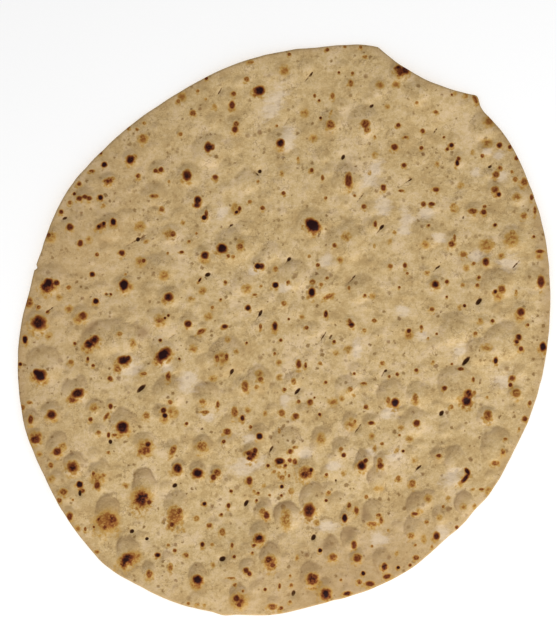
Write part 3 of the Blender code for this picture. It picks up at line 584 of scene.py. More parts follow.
# Depth of the burning and of the cuts in the fine relief, in mm, and its coarse and fine grain
BURN_DEPTH = 0.25
CUT_DEPTH = 0.8
FACE_GRAIN = (0.55, 0.13)
UNDERSIDE_GRAIN = (0.3, 0.2)

# Strength of the painted shade on the far slopes, in the folds at the blisters' feet and in the
# skin's creases, and of the flecks
SLOPE_SHADE_TONE = 0.63
CREASE_SHADE_TONE = 0.5
SKIN_CREASE_SHADE_TONE = 0.5
BRAN_TONE = 0.9
FLECK_TONE = 0.7
UNDERSIDE_FLECK_TONE = 0.35
SMALLEST_FLECK = 0.12

# Amount of flour, and the turn in radians and stretch of its streaks
FACE_FLOUR = 0.54
UNDERSIDE_FLOUR = 0.75
SWEEP_TURN = -1.05
SWEEP_SCALE = (0.45, 1.0, 1.0)

# Raggedness of the spots and slits
FACE_RAGGEDNESS = 0.28
UNDERSIDE_RAGGEDNESS = 0.5
SLIT_RAGGEDNESS = 0.14

# Ochre stains: size of the lumps in mm, their roughness, where they start and are complete, and
# the burning there
FACE_STAIN = (2.8, 0.55, 0.3, 0.66, 0.2, 0.56)
UNDERSIDE_STAIN = (5.0, 0.6, 0.35, 0.65, 0.03, 0.34)

# Middle of the camera's view from the same point as the lists, the view's height and the
# sensor's width, in mm
VIEW_MIDDLE_X = -4.5
VIEW_MIDDLE_Y = 7.1
VIEW_HEIGHT = 480.0
SENSOR_WIDTH = 36.0

# Place of the lamp in front of the bread and its width, in metres, half the table's side for
# the width of the bread, and the table's roughness and shine
LAMP_PLACE = (0.6, -1.68, 1.05)
LAMP_WIDTH = 0.8
TABLE_REACH = 12.0
TABLE_ROUGHNESS = 0.9
TABLE_SHINE = 0.1


def ease(t):
    """Smooth step from 0 to 1."""
    t = np.clip(t, 0.0, 1.0)
    return t * t * (3.0 - 2.0 * t)


def bell(t):
    """Smooth hump, 1 in the middle and 0 from one half width on."""
    return 0.5 + 0.5 * np.cos(math.pi * np.clip(np.abs(t), 0.0, 1.0))


def turn_between(angle, middle):
    """Signed difference of two angles in degrees, from -180 to 180."""
    return (angle - middle + 180.0) % 360.0 - 180.0


def lumps(x, y, size, seed):
    """Smooth random field from -1 to 1 whose lumps are about one size across."""
    table = np.random.default_rng(seed).uniform(-1.0, 1.0, (LUMP_CELLS, LUMP_CELLS))
    column = np.floor(x / size).astype(int)
    row = np.floor(y / size).astype(int)
    across = ease(x / size - column)
    up = ease(y / size - row)
    left = column % LUMP_CELLS
    right = (column + 1) % LUMP_CELLS
    low, high = [
        table[line % LUMP_CELLS, left] * (1 - across) + table[line % LUMP_CELLS, right] * across
        for line in (row, row + 1)
    ]
    return low * (1 - up) + high * up


def plan_place(radius, angle):
    """Plan place at a radius and an angle in degrees."""
    return radius * np.cos(np.radians(angle)), radius * np.sin(np.radians(angle))


def within(x, y, middle_x, middle_y, reach):
    """Numbers of the places in a square box round a middle."""
    return np.nonzero((np.abs(x - middle_x) < reach) & (np.abs(y - middle_y) < reach))[0]


def swollen_oval(angle):
    """Radius of the untorn outline at an angle in degrees."""
    along = np.radians(angle - OVAL_TURN)
    across = np.hypot(OVAL_SHORT_HALF * np.cos(along), OVAL_LONG_HALF * np.sin(along))
    radius = OVAL_LONG_HALF * OVAL_SHORT_HALF / across
    for middle, half_width, height in EDGE_SWELLS:
        radius = radius + height * bell(turn_between(angle, middle) / half_width)
    return radius


def edge_radius(angle):
    """Radius of the outline at an angle in degrees, torn edge included."""
    angle = np.asarray(angle, dtype=float) % 360.0
    start = np.array(plan_place(swollen_oval(TORN_FIRST_CORNER), TORN_FIRST_CORNER))
    chord = np.array(plan_place(swollen_oval(TORN_LAST_CORNER), TORN_LAST_CORNER)) - start
    heading_x, heading_y = plan_place(1.0, angle)
    crossing = heading_x * chord[1] - heading_y * chord[0]
    crossing = np.where(np.abs(crossing) < 1e-6, 1e-6, crossing)
    reach = (start[0] * chord[1] - start[1] * chord[0]) / crossing
    share = (start[0] * heading_y - start[1] * heading_x) / crossing
    torn = reach - TORN_BOW * 4.0 * share * (1.0 - share)
    is_torn = (angle > TORN_FIRST_CORNER) & (angle < TORN_LAST_CORNER)
    return np.where(is_torn, torn, swollen_oval(angle))


def ragged_edge(angle):
    """Radius of the outline with its fine unevenness and the small nick."""
    x, y = plan_place(EDGE_READ_RADIUS, angle)
    fine = EDGE_UNEVENNESS * lumps(x, y, EDGE_LUMP, EDGE_SEED)
    nick = NICK_DEPTH * bell(turn_between(angle, NICK_ANGLE) / NICK_HALF_WIDTH)
    return edge_radius(angle) + fine - nick


def outline_middle():
    """Middle of the outline's box from the oval's middle, in mm."""
    angle = np.arange(OUTLINE_STEPS) * (360.0 / OUTLINE_STEPS)
    x, y = plan_place(edge_radius(angle), angle)
    return 0.5 * (x.max() + x.min()), 0.5 * (y.max() + y.min())


def inset(x, y):
    """Distance from the outline inwards, along the line to the middle."""
    return edge_radius(np.degrees(np.arctan2(y, x))) - np.hypot(x, y)


def underside_lift(x, y):
    """Height of the sheet's underside above the table."""
    angle = np.degrees(np.arctan2(y, x))
    outwards = np.hypot(x, y)
    share = ease((outwards / edge_radius(angle) - LIFT_START) / (1.0 - LIFT_START))
    lift = np.zeros_like(outwards)
    for middle, half_width, height in RIM_LIFTS:
        lift = lift + height * share * bell(turn_between(angle, middle) / half_width)
    wave = np.zeros_like(outwards)
    for heading, length, height in BROAD_WAVES:
        wave_x, wave_y = plan_place(1.0, heading)
        along = x * wave_x + y * wave_y
        wave = wave + height * np.sin(2.0 * math.pi * along / length)
    unseated = ease((outwards - SEAT_RADIUS) / SEAT_FADE)
    resting = np.zeros_like(outwards)
    for spot_x, spot_y in REST_SPOTS:
        resting = np.maximum(resting, bell(np.hypot(x - spot_x, y - spot_y) / REST_SPOT_WIDTH))
    lift = lift + np.maximum(wave - WAVE_SUNK, 0.0) * unseated
    return (lift + REST_RISE) * (1.0 - resting)


def sheet_thickness(shape, depth):
    """Thickness of the sheet in mm at a distance in from the outline."""
    middle = shape.middle_thickness / MM
    rim = shape.rim_thickness / MM
    return rim + (middle - rim) * ease(depth / RIM_WIDTH)


def half_thickness(shape, depth):
    """Half thickness of the sheet, with its edge rounded."""
    corner = np.clip(1.0 - depth / EDGE_ROUNDING, 0.0, 1.0)
    return 0.5 * sheet_thickness(shape, depth) * np.sqrt(1.0 - corner * corner)


def from_middle(entries):
    """Entries of a list with their places measured from the oval's middle."""
    for entry in entries:
        yield (entry[0] - OVAL_MIDDLE_X, entry[1] - OVAL_MIDDLE_Y) + tuple(entry[2:])


def blister_width(y):
    """Width of a blister for its length at a place in y."""
    share = float(ease((NARROW_START_Y - y) / (NARROW_START_Y - NARROW_END_Y)))
    return 1.0 - (1.0 - NEAR_BLISTER_WIDTH) * share


def blister_list():
    """Every blister from the oval's middle: x, y, two half widths, turn in degrees and height."""
    for x, y, radius in from_middle(BLISTERS):
        width = radius * blister_width(y + OVAL_MIDDLE_Y)
        yield x, y, width, radius, 0.0, min(BLISTER_RISE * radius, BLISTER_TALLEST)
    for x, y, half_length, half_width, turn in from_middle([WIDE_BLISTER]):
        yield x, y, half_length, half_width, turn, BLISTER_TALLEST


def little_blisters():
    """Seeded little blisters that keep clear of the middles of the listed ones."""
    chance = np.random.default_rng(LITTLE_SEED)
    taken = [(x, y, LISTED_CLEARANCE * radius) for x, y, _, radius, _, _ in blister_list()]
    little = []
    tries = 0
    while len(little) < LITTLE_BLISTERS and tries < LITTLE_TRIES * LITTLE_BLISTERS:
        tries += 1
        angle = chance.uniform(0.0, 360.0)
        outwards = (float(edge_radius(angle)) - LITTLE_INSET) * math.sqrt(chance.uniform())
        share = chance.uniform() ** LITTLE_CROWDING
        radius = LITTLE_SMALLEST + (LITTLE_LARGEST - LITTLE_SMALLEST) * share
        x, y = plan_place(outwards, angle)
        if all(math.hypot(x - other[0], y - other[1]) > other[2] + radius for other in taken):
            taken.append((x, y, radius))
            stretch = chance.uniform(*LITTLE_STRETCH)
            turn = chance.uniform(-LITTLE_TURN, LITTLE_TURN)
            shape = (radius * stretch, radius / stretch, turn)
            little.append((x, y) + shape + (LITTLE_RISE * radius,))
    return little


def local_place(x, y, middle_x, middle_y, half_length, half_width, turn):
    """Places in an ellipse's own frame, where its outline is at distance 1."""
    cosine, sine = plan_place(1.0, turn)
    along = ((x - middle_x) * cosine + (y - middle_y) * sine) / half_length
    across = ((y - middle_y) * cosine - (x - middle_x) * sine) / half_width
    return along, across


def blister_fields(x, y):
    """Rise of the blisters in mm, distance outside their feet in mm and strength of the shade painted on
    their far sides.
    """
    moved_x = x
    moved_y = y
    for reach, size, seed_x, seed_y in FOOT_WANDERS:
        moved_x = moved_x + reach * lumps(x, y, size, seed_x)
        moved_y = moved_y + reach * lumps(x, y, size, seed_y)
    rise = np.zeros_like(x)
    gap = np.full_like(x, FAR_FROM_FOOT)
    far_slope_shade = np.zeros_like(x)
    lean = BLISTER_LEAN
    inner = 1.0 - lean * lean
    blisters = list(blister_list()) + little_blisters()
    for middle_x, middle_y, half_length, half_width, turn, height in blisters:
        reach = BLISTER_REACH_SHARE * half_length + BLISTER_REACH_MORE
        near = within(x, y, middle_x, middle_y, reach)
        ellipse = (middle_x, middle_y, half_length, half_width, turn)
        along, across = local_place(moved_x[near], moved_y[near], *ellipse)
        turned = float(ease((middle_x - SHADE_TURN_START) / SHADE_TURN_WIDTH))
        heading = SHADE_HEADING + SHADE_TURN * turned - turn
        far_x, far_y = plan_place(1.0, heading)
        far = (along * far_x + across * far_y) / np.maximum(np.hypot(along, across), 0.05)
        across = across + lean
        dot = -lean * across
        level = (dot + np.sqrt(dot * dot + inner * (along * along + across * across))) / inner
        rise[near] = np.maximum(rise[near], height * (1.0 - np.minimum(level, 1.0) ** 2))
        here = (level - 1.0) * half_width
        closer = here < gap[near]
        strength = LOW_BLISTER_SHADE + (1.0 - LOW_BLISTER_SHADE) * height / BLISTER_TALLEST
        swing = float(lumps(middle_x, middle_y, SHADE_LUMP, SHADE_SEED))
        strength = strength * (SHADE_MIDDLE + SHADE_SWING * swing)
        nearness = float(ease((NEAR_SHADE_START - middle_y) / NEAR_SHADE_WIDTH))
        strength = strength * (FAR_SHADE + NEAR_SHADE_MORE * nearness)
        facing = ease(SIDE_SHADE + SIDE_SHADE_GROWTH * far) * strength
        far_slope_shade[near] = np.where(closer, facing, far_slope_shade[near])
        gap[near] = np.minimum(gap[near], here)
    return rise, gap, far_slope_shade


def full_spots(entries, kind):
    """Spots as x, y, two half widths, turn and strength, from the oval's middle."""
    for entry in from_middle(entries):
        half_width = entry[2]
        half_height = entry[3] if len(entry) > 3 else half_width
        turn = entry[4] if len(entry) > 4 else 0.0
        unevenness = float(lumps(entry[0], entry[1], SPOT_LUMP, SPOT_SEED))
        unevenness = unevenness * min(1.0, EVEN_HALF_WIDTH / half_width)
        strength = kind[0] * (1.0 + kind[1] * unevenness)
        if kind == CHARRED:
            nearness = float(ease((NEAR_FADE_START - entry[1]) / NEAR_FADE_WIDTH))
            strength = strength * (1.0 - NEAR_FADE * nearness)
        yield entry[0], entry[1], half_width, half_height, turn, strength


def dark_spots():
    """Charred and dark brown spots of the baked face."""
    return list(full_spots(CHARRED_SPOTS, CHARRED)) + list(full_spots(DARK_SPOTS, DARK))


def brown_spots():
    """Brown spots of the baked face."""
    return list(full_spots(BROWN_SPOTS, BROWN))


def slit_marks():
    """Open and closed slits as long spots, each with its darkness."""
    marks = []
    for x, y, half_length, half_width, darkness, turn in from_middle(OPEN_SLITS):
        marks.append((x, y, half_length, half_width, turn, darkness))
    for x, y, half_length, darkness, turn in from_middle(CLOSED_SLITS):
        marks.append((x, y, half_length, CLOSED_HALF_WIDTH, turn, darkness))
    return marks


def swelling_rise(x, y):
    """Height of the swellings under the scorch spots, in mm."""
    rise = np.zeros_like(x)
    for middle_x, middle_y, half_width, half_height, _, _ in dark_spots() + brown_spots():
        size = SWELLING_RADIUS_SHARE * math.sqrt(half_width * half_height) + SWELLING_RADIUS_MORE
        shift = SWELLING_SHIFT * size
        near = within(x, y, middle_x, middle_y, size + shift)
        away = np.hypot(x[near] - middle_x, y[near] - middle_y - shift) / size
        height = min(SWELLING_RISE * size, SWELLING_TALLEST)
        rise[near] = np.maximum(rise[near], height * (1.0 - np.minimum(away, 1.0) ** 2))
    return rise


def slit_dent(shape, x, y):
    """Depth of the slits and of the dimples round them, in mm."""
    dent = np.zeros_like(x)
    for middle_x, middle_y, half_length, half_width, turn, strength in slit_marks():
        near = within(x, y, middle_x, middle_y, DENT_REACH)
        ellipse = (middle_x, middle_y, half_length + CUT_LONGER, half_width + CUT_WIDER, turn)
        along, across = local_place(x[near], y[near], *ellipse)
        cut = shape.slit_depth / MM * strength * np.exp(-(along ** 2 + across ** 2))
        away = np.hypot(x[near] - middle_x, y[near] - middle_y)
        dimple = DIMPLE_DEPTH * bell(away / DIMPLE_RADIUS)
        dent[near] = np.maximum(dent[near], cut + dimple)
    return dent


def crumple(x, y):
    """Small folds of the skin between the blisters, from -1 to 1."""
    share, size, seed = CRUMPLE_FOLDS
    height = share * (1.0 - 2.0 * np.abs(lumps(x, y, size, seed)))
    for share, size, seed in CRUMPLE_LUMPS:
        height = height + share * lumps(x, y, size, seed)
    return height


def face_height(shape, x, y, depth, rise):
    """Height of the baked face in mm."""
    sheet = underside_lift(x, y) + 0.5 * sheet_thickness(shape, depth)
    relief = shape.blister_height * (rise + SWELLING_KEPT * swelling_rise(x, y))
    relief = relief + shape.crumple_height / MM * crumple(x, y) - slit_dent(shape, x, y)
    return sheet + half_thickness(shape, depth) + relief * ease(depth / FACE_RELIEF_START)


def underside_height(shape, x, y, depth):
    """Height of the underside in mm, with shallow hollows where blisters rose."""
    sheet = underside_lift(x, y) + 0.5 * sheet_thickness(shape, depth)
    level = np.zeros_like(x)
    for share, size, seed in HOLLOW_LUMPS:
        level = level + share * lumps(x, y, size, seed)
    hollows = HOLLOW_DEPTH * np.clip(level, 0.0, 1.0) * ease(depth / UNDERSIDE_RELIEF_START)
    return sheet - half_thickness(shape, depth) + hollows


def fold_grid(cells):
    """Ring number and angle in degrees of each vertex of a square grid folded to a disc."""
    half = cells // 2
    steps = np.arange(-half, half + 1, dtype=float)
    column, row = np.meshgrid(steps, steps)
    column = column.ravel()
    row = row.ravel()
    ring = np.maximum(np.abs(column), np.abs(row))
    wide = np.abs(column) >= np.abs(row)
    safe_column = np.where(column == 0.0, 1.0, column)
    safe_row = np.where(row == 0.0, 1.0, row)
    angle = np.where(wide, 45.0 * row / safe_column, 90.0 - 45.0 * column / safe_row)
    behind = np.where(wide, column < 0.0, row < 0.0)
    angle = (angle + 180.0 * behind) % 360.0
    return ring.astype(int), np.where(ring == 0.0, 0.0, angle)


def grid_depths(cells, insets):
    """Plan radius as a share and an inset in mm for each ring of a folded grid."""
    half = cells // 2
    inner = half - len(insets) + 1
    share = np.minimum(np.arange(half + 1) / inner, 1.0)
    depth = np.full(half + 1, float(insets[-1]))
    for index, value in enumerate(insets):
        depth[half - index] = value
    return share, depth


def grid_plan(cells, insets):
    """Plan places, rings and depths of a folded grid on the bread."""
    ring, angle = fold_grid(cells)
    share, ring_depth = grid_depths(cells, insets)
    edge = ragged_edge(angle)
    radius = (edge - ring_depth[ring]) * share[ring]
    x, y = plan_place(radius, angle)
    return x, y, edge - radius, ring, angle


def grid_quads(cells):
    """Corners of each cell of a square grid, counter-clockwise from above."""
    side = cells + 1
    first = (np.arange(cells)[:, None] * side + np.arange(cells)[None, :]).ravel()
    return np.stack((first, first + 1, first + side + 1, first + side), axis=1)


def rim_order(cells, ring, angle):
    """Vertices of the outermost ring in order of their angle."""
    rim = np.nonzero(ring == cells // 2)[0]
    return rim[np.argsort(angle[rim])]


def map_place(x, y, drop, middle, radius):
    """Place in the unwrapped map of a plan place, pushed outwards by its drop in mm."""
    reach = np.maximum(np.hypot(x, y), 1e-6)
    stretch = (reach + drop) / reach * radius / (OVAL_LONG_HALF + MAP_MARGIN)
    return middle[0] + x * stretch, middle[1] + y * stretch


def nearest_spots(x, y, spots):
    """Numbers and reaches of the two spots nearest to each place, nearest first."""
    reach = np.full((2, x.size), np.inf)
    number = np.zeros((2, x.size), dtype=int)
    for index, spot in enumerate(spots):
        near = within(x, y, spot[0], spot[1], SPOT_REACH)
        along, across = local_place(x[near], y[near], *spot[:5])
        here = np.hypot(along, across)
        first = here < reach[0, near]
        second = ~first & (here < reach[1, near])
        reach[1, near] = np.where(first, reach[0, near], np.where(second, here, reach[1, near]))
        number[1, near] = np.where(first, number[0, near], np.where(second, index, number[1, near]))
        reach[0, near] = np.where(first, here, reach[0, near])
        number[0, near] = np.where(first, index, number[0, near])
    return number, reach


class Corners:
    """Face corners of the bread's mesh, and the marks that are written on them."""

    def __init__(self, mesh, x, y, face_quads):
        self.mesh = mesh
        self.x = x
        self.y = y
        starts = np.empty(len(mesh.polygons), dtype=np.int32)
        totals = np.empty(len(mesh.polygons), dtype=np.int32)
        self.vertex = np.empty(len(mesh.loops), dtype=np.int32)
        mesh.polygons.foreach_get("loop_start", starts)
        mesh.polygons.foreach_get("loop_total", totals)
        mesh.loops.foreach_get("vertex_index", self.vertex)
        self.face = np.repeat(np.arange(len(totals)), totals)
        self.middle_x = np.add.reduceat(x[self.vertex], starts) / totals
        self.middle_y = np.add.reduceat(y[self.vertex], starts) / totals
        self.on_face = np.arange(len(totals)) < face_quads
        self.corner_on_face = self.on_face[self.face]

    def write(self, name, spots_above, spots_below, rank):
        """Write each corner's place in its face's nearest or second spot, and that spot's strength."""
        values = np.zeros((self.vertex.size, 3), dtype=np.float32)
        values[:, 0] = NO_SPOT
        for spots, faces in ((spots_above, self.on_face), (spots_below, ~self.on_face)):
            if not spots:
                continue
            chosen = np.nonzero(faces)[0]
            number = np.zeros(faces.size, dtype=int)
            reach = np.full(faces.size, np.inf)
            found, distance = nearest_spots(self.middle_x[chosen], self.middle_y[chosen], spots)
            number[chosen] = found[rank]
            reach[chosen] = distance[rank]
            corners = np.nonzero(faces[self.face] & (reach[self.face] < SPOT_END))[0]
            table = np.array(spots)[number[self.face[corners]]]
            place = (self.x[self.vertex[corners]], self.y[self.vertex[corners]])
            along, across = local_place(*place, *table[:, :5].T)
            values[corners] = np.stack((along, across, table[:, 5]), axis=1)
        attribute = self.mesh.attributes.new(name, "FLOAT_VECTOR", "CORNER")
        attribute.data.foreach_set("vector", values.ravel())


def soft_field(x, y, patches):
    """Strongest of the soft round patches at each place, from 0 to 1."""
    field = np.zeros_like(x)
    for patch in patches:
        reach = SOFT_REACH * max(patch[2], patch[3])
        near = within(x, y, patch[0], patch[1], reach)
        along, across = local_place(x[near], y[near], *patch[:5])
        field[near] = np.maximum(field[near], bell(np.hypot(along, across) / SOFT_WIDTH))
    return field


def painted_side_shade(x, y):
    """Strength of the shade painted on some folds and near the rim, from 0 to 1."""
    angle = np.degrees(np.arctan2(y, x))
    tone = FOLD_SHADE_TONE * soft_field(x, y, list(from_middle(PAINTED_FOLD_SHADE)))
    for middle, half_width, strength, reach in RIM_SHADE_SIDES:
        inwards = 1.0 - ease(inset(x, y) / reach)
        tone = np.maximum(tone, strength * bell(turn_between(angle, middle) / half_width) * inwards)
    return tone


def scattered_spots(count, seed, smallest, largest, weakest, strongest):
    """Seeded spots over the whole underside."""
    chance = np.random.default_rng(seed)
    spots = []
    for _ in range(count):
        angle = chance.uniform(0.0, 360.0)
        radius = float(edge_radius(angle)) * BELOW_SHARE * math.sqrt(chance.uniform())
        size = smallest + (largest - smallest) * chance.uniform() ** BELOW_CROWDING
        stretch = chance.uniform(*BELOW_STRETCH)
        strength = chance.uniform(weakest, strongest)
        shape = (size * stretch, size / stretch, chance.uniform(0.0, 180.0))
        spots.append(plan_place(radius, angle) + shape + (strength,))
    return spots


def write_point(mesh, name, values):
    """Write one number for each vertex under a name that the materials read."""
    attribute = mesh.attributes.new(name, "FLOAT", "POINT")
    attribute.data.foreach_set("value", np.asarray(values, dtype=np.float32))


def bread_mesh(shape):
    """Closed mesh of the bread with its map and the places of its marks."""
    top_x, top_y, top_depth, top_ring, top_angle = grid_plan(FACE_CELLS, FACE_INSETS)
    low_x, low_y, low_depth, low_ring, low_angle = grid_plan(UNDERSIDE_CELLS, UNDERSIDE_INSETS)
    rise, foot_gap, far_slope_shade = blister_fields(top_x, top_y)
    top_z = face_height(shape, top_x, top_y, top_depth, rise)
    low_z = underside_height(shape, low_x, low_y, low_depth)
    x = np.concatenate((top_x, low_x))
    y = np.concatenate((top_y, low_y))
    z = np.concatenate((top_z, low_z))
    middle_x, middle_y = outline_middle()
    places = np.stack((x - middle_x, y - middle_y, z - low_z.min()), axis=1) * MM

    face_quads = grid_quads(FACE_CELLS)
    low_quads = grid_quads(UNDERSIDE_CELLS)[:, ::-1] + top_x.size
    outer = rim_order(FACE_CELLS, top_ring, top_angle)
    inner = rim_order(UNDERSIDE_CELLS, low_ring, low_angle) + top_x.size
    seam = []
    for index in range(inner.size):
        first = outer[2 * index]
        half_way = outer[2 * index + 1]
        last = outer[(2 * index + 2) % outer.size]
        here = inner[index]
        following = inner[(index + 1) % inner.size]
        seam += [(half_way, first, here), (half_way, here, following), (last, half_way, following)]
    faces = face_quads.tolist() + low_quads.tolist() + seam
    mesh = bpy.data.meshes.new("taftoon_bread")
    mesh.from_pydata(places.tolist(), [], faces)
    mesh.polygons.foreach_set("use_smooth", np.ones(len(faces), dtype=bool))
    material_index = (np.arange(len(faces)) >= len(face_quads)).astype(np.int32)
    mesh.polygons.foreach_set("material_index", material_index)

    corners = Corners(mesh, x, y, len(face_quads))
    write_map(mesh, corners, x, y, shape, top_depth, low_depth)
    dark = (dark_spots(), scattered_spots(*DARK_BELOW))
    brown = (brown_spots(), scattered_spots(*BROWN_BELOW))
    for names, (above, below) in (
        (SPOT_MARKS[:2], dark),
        (SPOT_MARKS[2:], brown),
        (SLIT_MARKS, (slit_marks(), [])),
    ):
        for rank, name in enumerate(names):
            corners.write(name, above, below, rank)

    stains = list(full_spots(OCHRE_STAINS, BROWN))
    flour = []
    for patch_x, patch_y, half_length, half_width, turn in from_middle(FLOUR_PATCHES):
        spread = (FLOUR_SPREAD * half_length, FLOUR_SPREAD * half_width)
        flour.append((patch_x, patch_y) + spread + (turn,))
    for name, above, below in (
        ("ochre_stain", stains, scattered_spots(*STAINS_BELOW)),
        ("flour_patch", flour, scattered_spots(*FLOUR_BELOW)),
    ):
        fields = (soft_field(top_x, top_y, above), soft_field(low_x, low_y, below))
        write_point(mesh, name, np.concatenate(fields))
    no_gap = np.full(low_x.size, FAR_FROM_FOOT)
    write_point(mesh, "foot_gap", np.concatenate((foot_gap, no_gap)))
    write_point(mesh, "far_slope_shade", np.concatenate((far_slope_shade, np.zeros(low_x.size))))
    write_point(mesh, "rim_gap", np.concatenate((top_depth, low_depth)))
    write_point(mesh, "painted_side_shade", painted_side_shade(x, y))
    mesh.update()
    return mesh


def write_map(mesh, corners, x, y, shape, top_depth, low_depth):
    """Lay the baked face and the underside out as two discs in the unwrapped map."""
    depth = np.concatenate((top_depth, low_depth))
    drop = 0.5 * sheet_thickness(shape, depth) - half_thickness(shape, depth)
    above = map_place(x, y, drop, MAP_FACE, MAP_FACE_RADIUS)
    below = map_place(x, y, drop, MAP_UNDERSIDE, MAP_UNDERSIDE_RADIUS)
    vertex = corners.vertex
    across = np.where(corners.corner_on_face, above[0][vertex], below[0][vertex])
    up = np.where(corners.corner_on_face, above[1][vertex], below[1][vertex])
    layer = mesh.uv_layers.new(name="OFBake")
    layer.data.foreach_set("uv", np.stack((across, up), axis=1).astype(np.float32).ravel())


def linear(red, green, blue):
    """Scene colour of a screen colour given from 0 to 255."""
    values = []
    for level in (red, green, blue):
        share = level / 255.0
        values.append(share / 12.92 if share <= 0.04045 else ((share + 0.055) / 1.055) ** 2.4)
    return tuple(values) + (1.0,)


class Graph:
    """Short ways to add nodes to one node tree."""

    def __init__(self, tree):
        self.tree = tree

    def feed(self, socket, value):
        """Give a socket a plain value or a link."""
        if isinstance(value, bpy.types.NodeSocket):
            self.tree.links.new(value, socket)
        else:
            socket.default_value = value

    def add(self, kind, feeds=None, **settings):
        """Add a node with its settings and the values of its sockets, and return its outputs."""
        node = self.tree.nodes.new(kind)
        for name, value in settings.items():
            setattr(node, name, value)
        for name, value in (feeds or {}).items():
            self.feed(node.inputs[name], value)
        return node.outputs

    def place(self, name, feeds):
        """Add a node group, made at its first use, and return its output."""
        group = bpy.data.node_groups.get(name) or GROUPS[name](name)
        return self.add("ShaderNodeGroup", feeds, node_tree=group)[0]

    def math(self, operation, first, second=0.0):
        """Result of one sum on two numbers."""
        return self.add("ShaderNodeMath", {0: first, 1: second}, operation=operation)[0]

    def product(self, first, *others):
        """Product of several numbers."""
        for other in others:
            first = self.math("MULTIPLY", first, other)
        return first

    def total(self, first, *others):
        """Total of several numbers."""
        for other in others:
            first = self.math("ADD", first, other)
        return first

    def vector(self, operation, first, second):
        """Result of one sum on two vectors."""
        feeds = {0: first, 1: second}
        return self.add("ShaderNodeVectorMath", feeds, operation=operation)[0]

    def scaled(self, vector, factor):
        """Vector made longer or shorter by a factor."""
        feeds = {0: vector, "Scale": factor}
        return self.add("ShaderNodeVectorMath", feeds, operation="SCALE")[0]

    def length(self, vector):
        """Length of a vector."""
        return self.add("ShaderNodeVectorMath", {0: vector}, operation="LENGTH")["Value"]

    def mix(self, share, first, second):
        """Two colours mixed by a share."""
        feeds = {0: share, 6: first, 7: second}
        return self.add("ShaderNodeMix", feeds, data_type="RGBA")[2]

    def lay(self, crust, colour, mask, strength):
        """Crust colour with another laid over it by a mask and a strength."""
        return self.mix(self.product(mask, strength), crust, colour)

    def fade(self, value, low, high, bottom=0.0, top=1.0):
        """Smooth step of a value between two limits."""
        feeds = {"Value": value, "From Min": low, "From Max": high, "To Min": bottom, "To Max": top}
        return self.add("ShaderNodeMapRange", feeds, interpolation_type="SMOOTHSTEP")[0]

    def noise(self, place, size, detail=2.0, roughness=0.5, output=0):
        """Noise whose lumps are about one size across, in the unit of the place."""
        feeds = {"Vector": place, "Scale": 1.0 / size, "Detail": detail, "Roughness": roughness}
        return self.add("ShaderNodeTexNoise", feeds)[output]

    def wander(self, place, size, detail, roughness, reach):
        """Uneven vector that moves a place about."""
        colour = self.noise(place, size, detail, roughness, "Color")
        return self.scaled(self.vector("SUBTRACT", colour, (0.5, 0.5, 0.5)), reach)

    def attribute(self, name, output="Fac"):
        """Output of a named attribute of the mesh."""
        return self.add("ShaderNodeAttribute", None, attribute_name=name)[output]


def new_group(name, inputs, output, output_kind):
    """Empty node group with named sockets: its graph, its input sockets and its output socket."""
    tree = bpy.data.node_groups.new(name, "ShaderNodeTree")
    for socket_name, kind, value in inputs:
        socket = tree.interface.new_socket(name=socket_name, in_out="INPUT", socket_type=kind)
        if value is not None:
            socket.default_value = value
    tree.interface.new_socket(name=output, in_out="OUTPUT", socket_type=output_kind)
    entry = tree.nodes.new("NodeGroupInput").outputs
    leave = tree.nodes.new("NodeGroupOutput").inputs
    return Graph(tree), entry, leave[0]


def scorch_group(name):
    """Group that turns a place in a spot's own frame into how burnt the crust is."""
    inputs = (
        ("Mark", VECTOR, None),
        ("Place", VECTOR, None),
        ("Raggedness", NUMBER, 0.5),
        ("Halo", NUMBER, 1.0),
    )
    graph, entry, leave = new_group(name, inputs, "Burn", NUMBER)
    place = entry["Place"]
    parts = graph.add("ShaderNodeSeparateXYZ", {0: entry["Mark"]})
    strength = parts[2]
    flat = graph.add("ShaderNodeCombineXYZ", {0: parts[0], 1: parts[1]})[0]
    wander = graph.wander(place, 3.0, 1.0, 0.4, graph.product(entry["Raggedness"], 2.0))
    flat = graph.vector("MULTIPLY", graph.vector("ADD", flat, wander), (1.0, 1.0, 0.0))
    core = graph.product(graph.fade(graph.length(flat), 1.62, 0.5), strength)
    patchy = graph.fade(graph.noise(place, 3.2), 0.36, 0.7, 0.05, 0.44)
    nearer = graph.length(graph.vector("ADD", flat, (0.15, 0.6, 0.0)))
    halo = graph.product(graph.fade(nearer, 2.4, 0.9), patchy, entry["Halo"])
    halo = graph.product(halo, graph.math("POWER", strength, 0.4))
    mottle = graph.fade(graph.noise(place, 1.7), 0.34, 0.58, 1.0, 0.0)
    mottle = graph.product(mottle, graph.fade(strength, 0.5, 0.92, 0.46, 0.1))
    mottle = graph.math("SUBTRACT", 1.0, mottle)
    graph.feed(leave, graph.product(graph.math("MAXIMUM", core, halo), mottle))
    return graph.tree


def fleck_group(name):
    """Group of small round flecks of uneven size, one in each cell of a given size."""
    inputs = (("Place", VECTOR, None), ("Cell", NUMBER, 5.0), ("Radius", NUMBER, 1.0))
    graph, entry, leave = new_group(name, inputs, "Fleck", NUMBER)
    wander = graph.wander(entry["Place"], 1.6, 2.0, 0.5, 2.4)
    place = graph.vector("ADD", entry["Place"], wander)
    place = graph.scaled(place, graph.math("DIVIDE", 1.0, entry["Cell"]))
    cells = graph.add("ShaderNodeTexVoronoi", {"Vector": place, "Scale": 1.0})
    chance = graph.add("ShaderNodeSeparateColor", {0: cells["Color"]})
    away = graph.product(cells["Distance"], entry["Cell"])
    size = graph.product(graph.math("POWER", chance[0], 2.0), entry["Radius"])
    size = graph.total(size, SMALLEST_FLECK)
    fleck = graph.fade(graph.math("DIVIDE", away, size), 1.35, 0.55)
    strength = graph.fade(chance[1], 0.1, 0.9, 0.25, 1.0)
    graph.feed(leave, graph.product(fleck, strength))
    return graph.tree


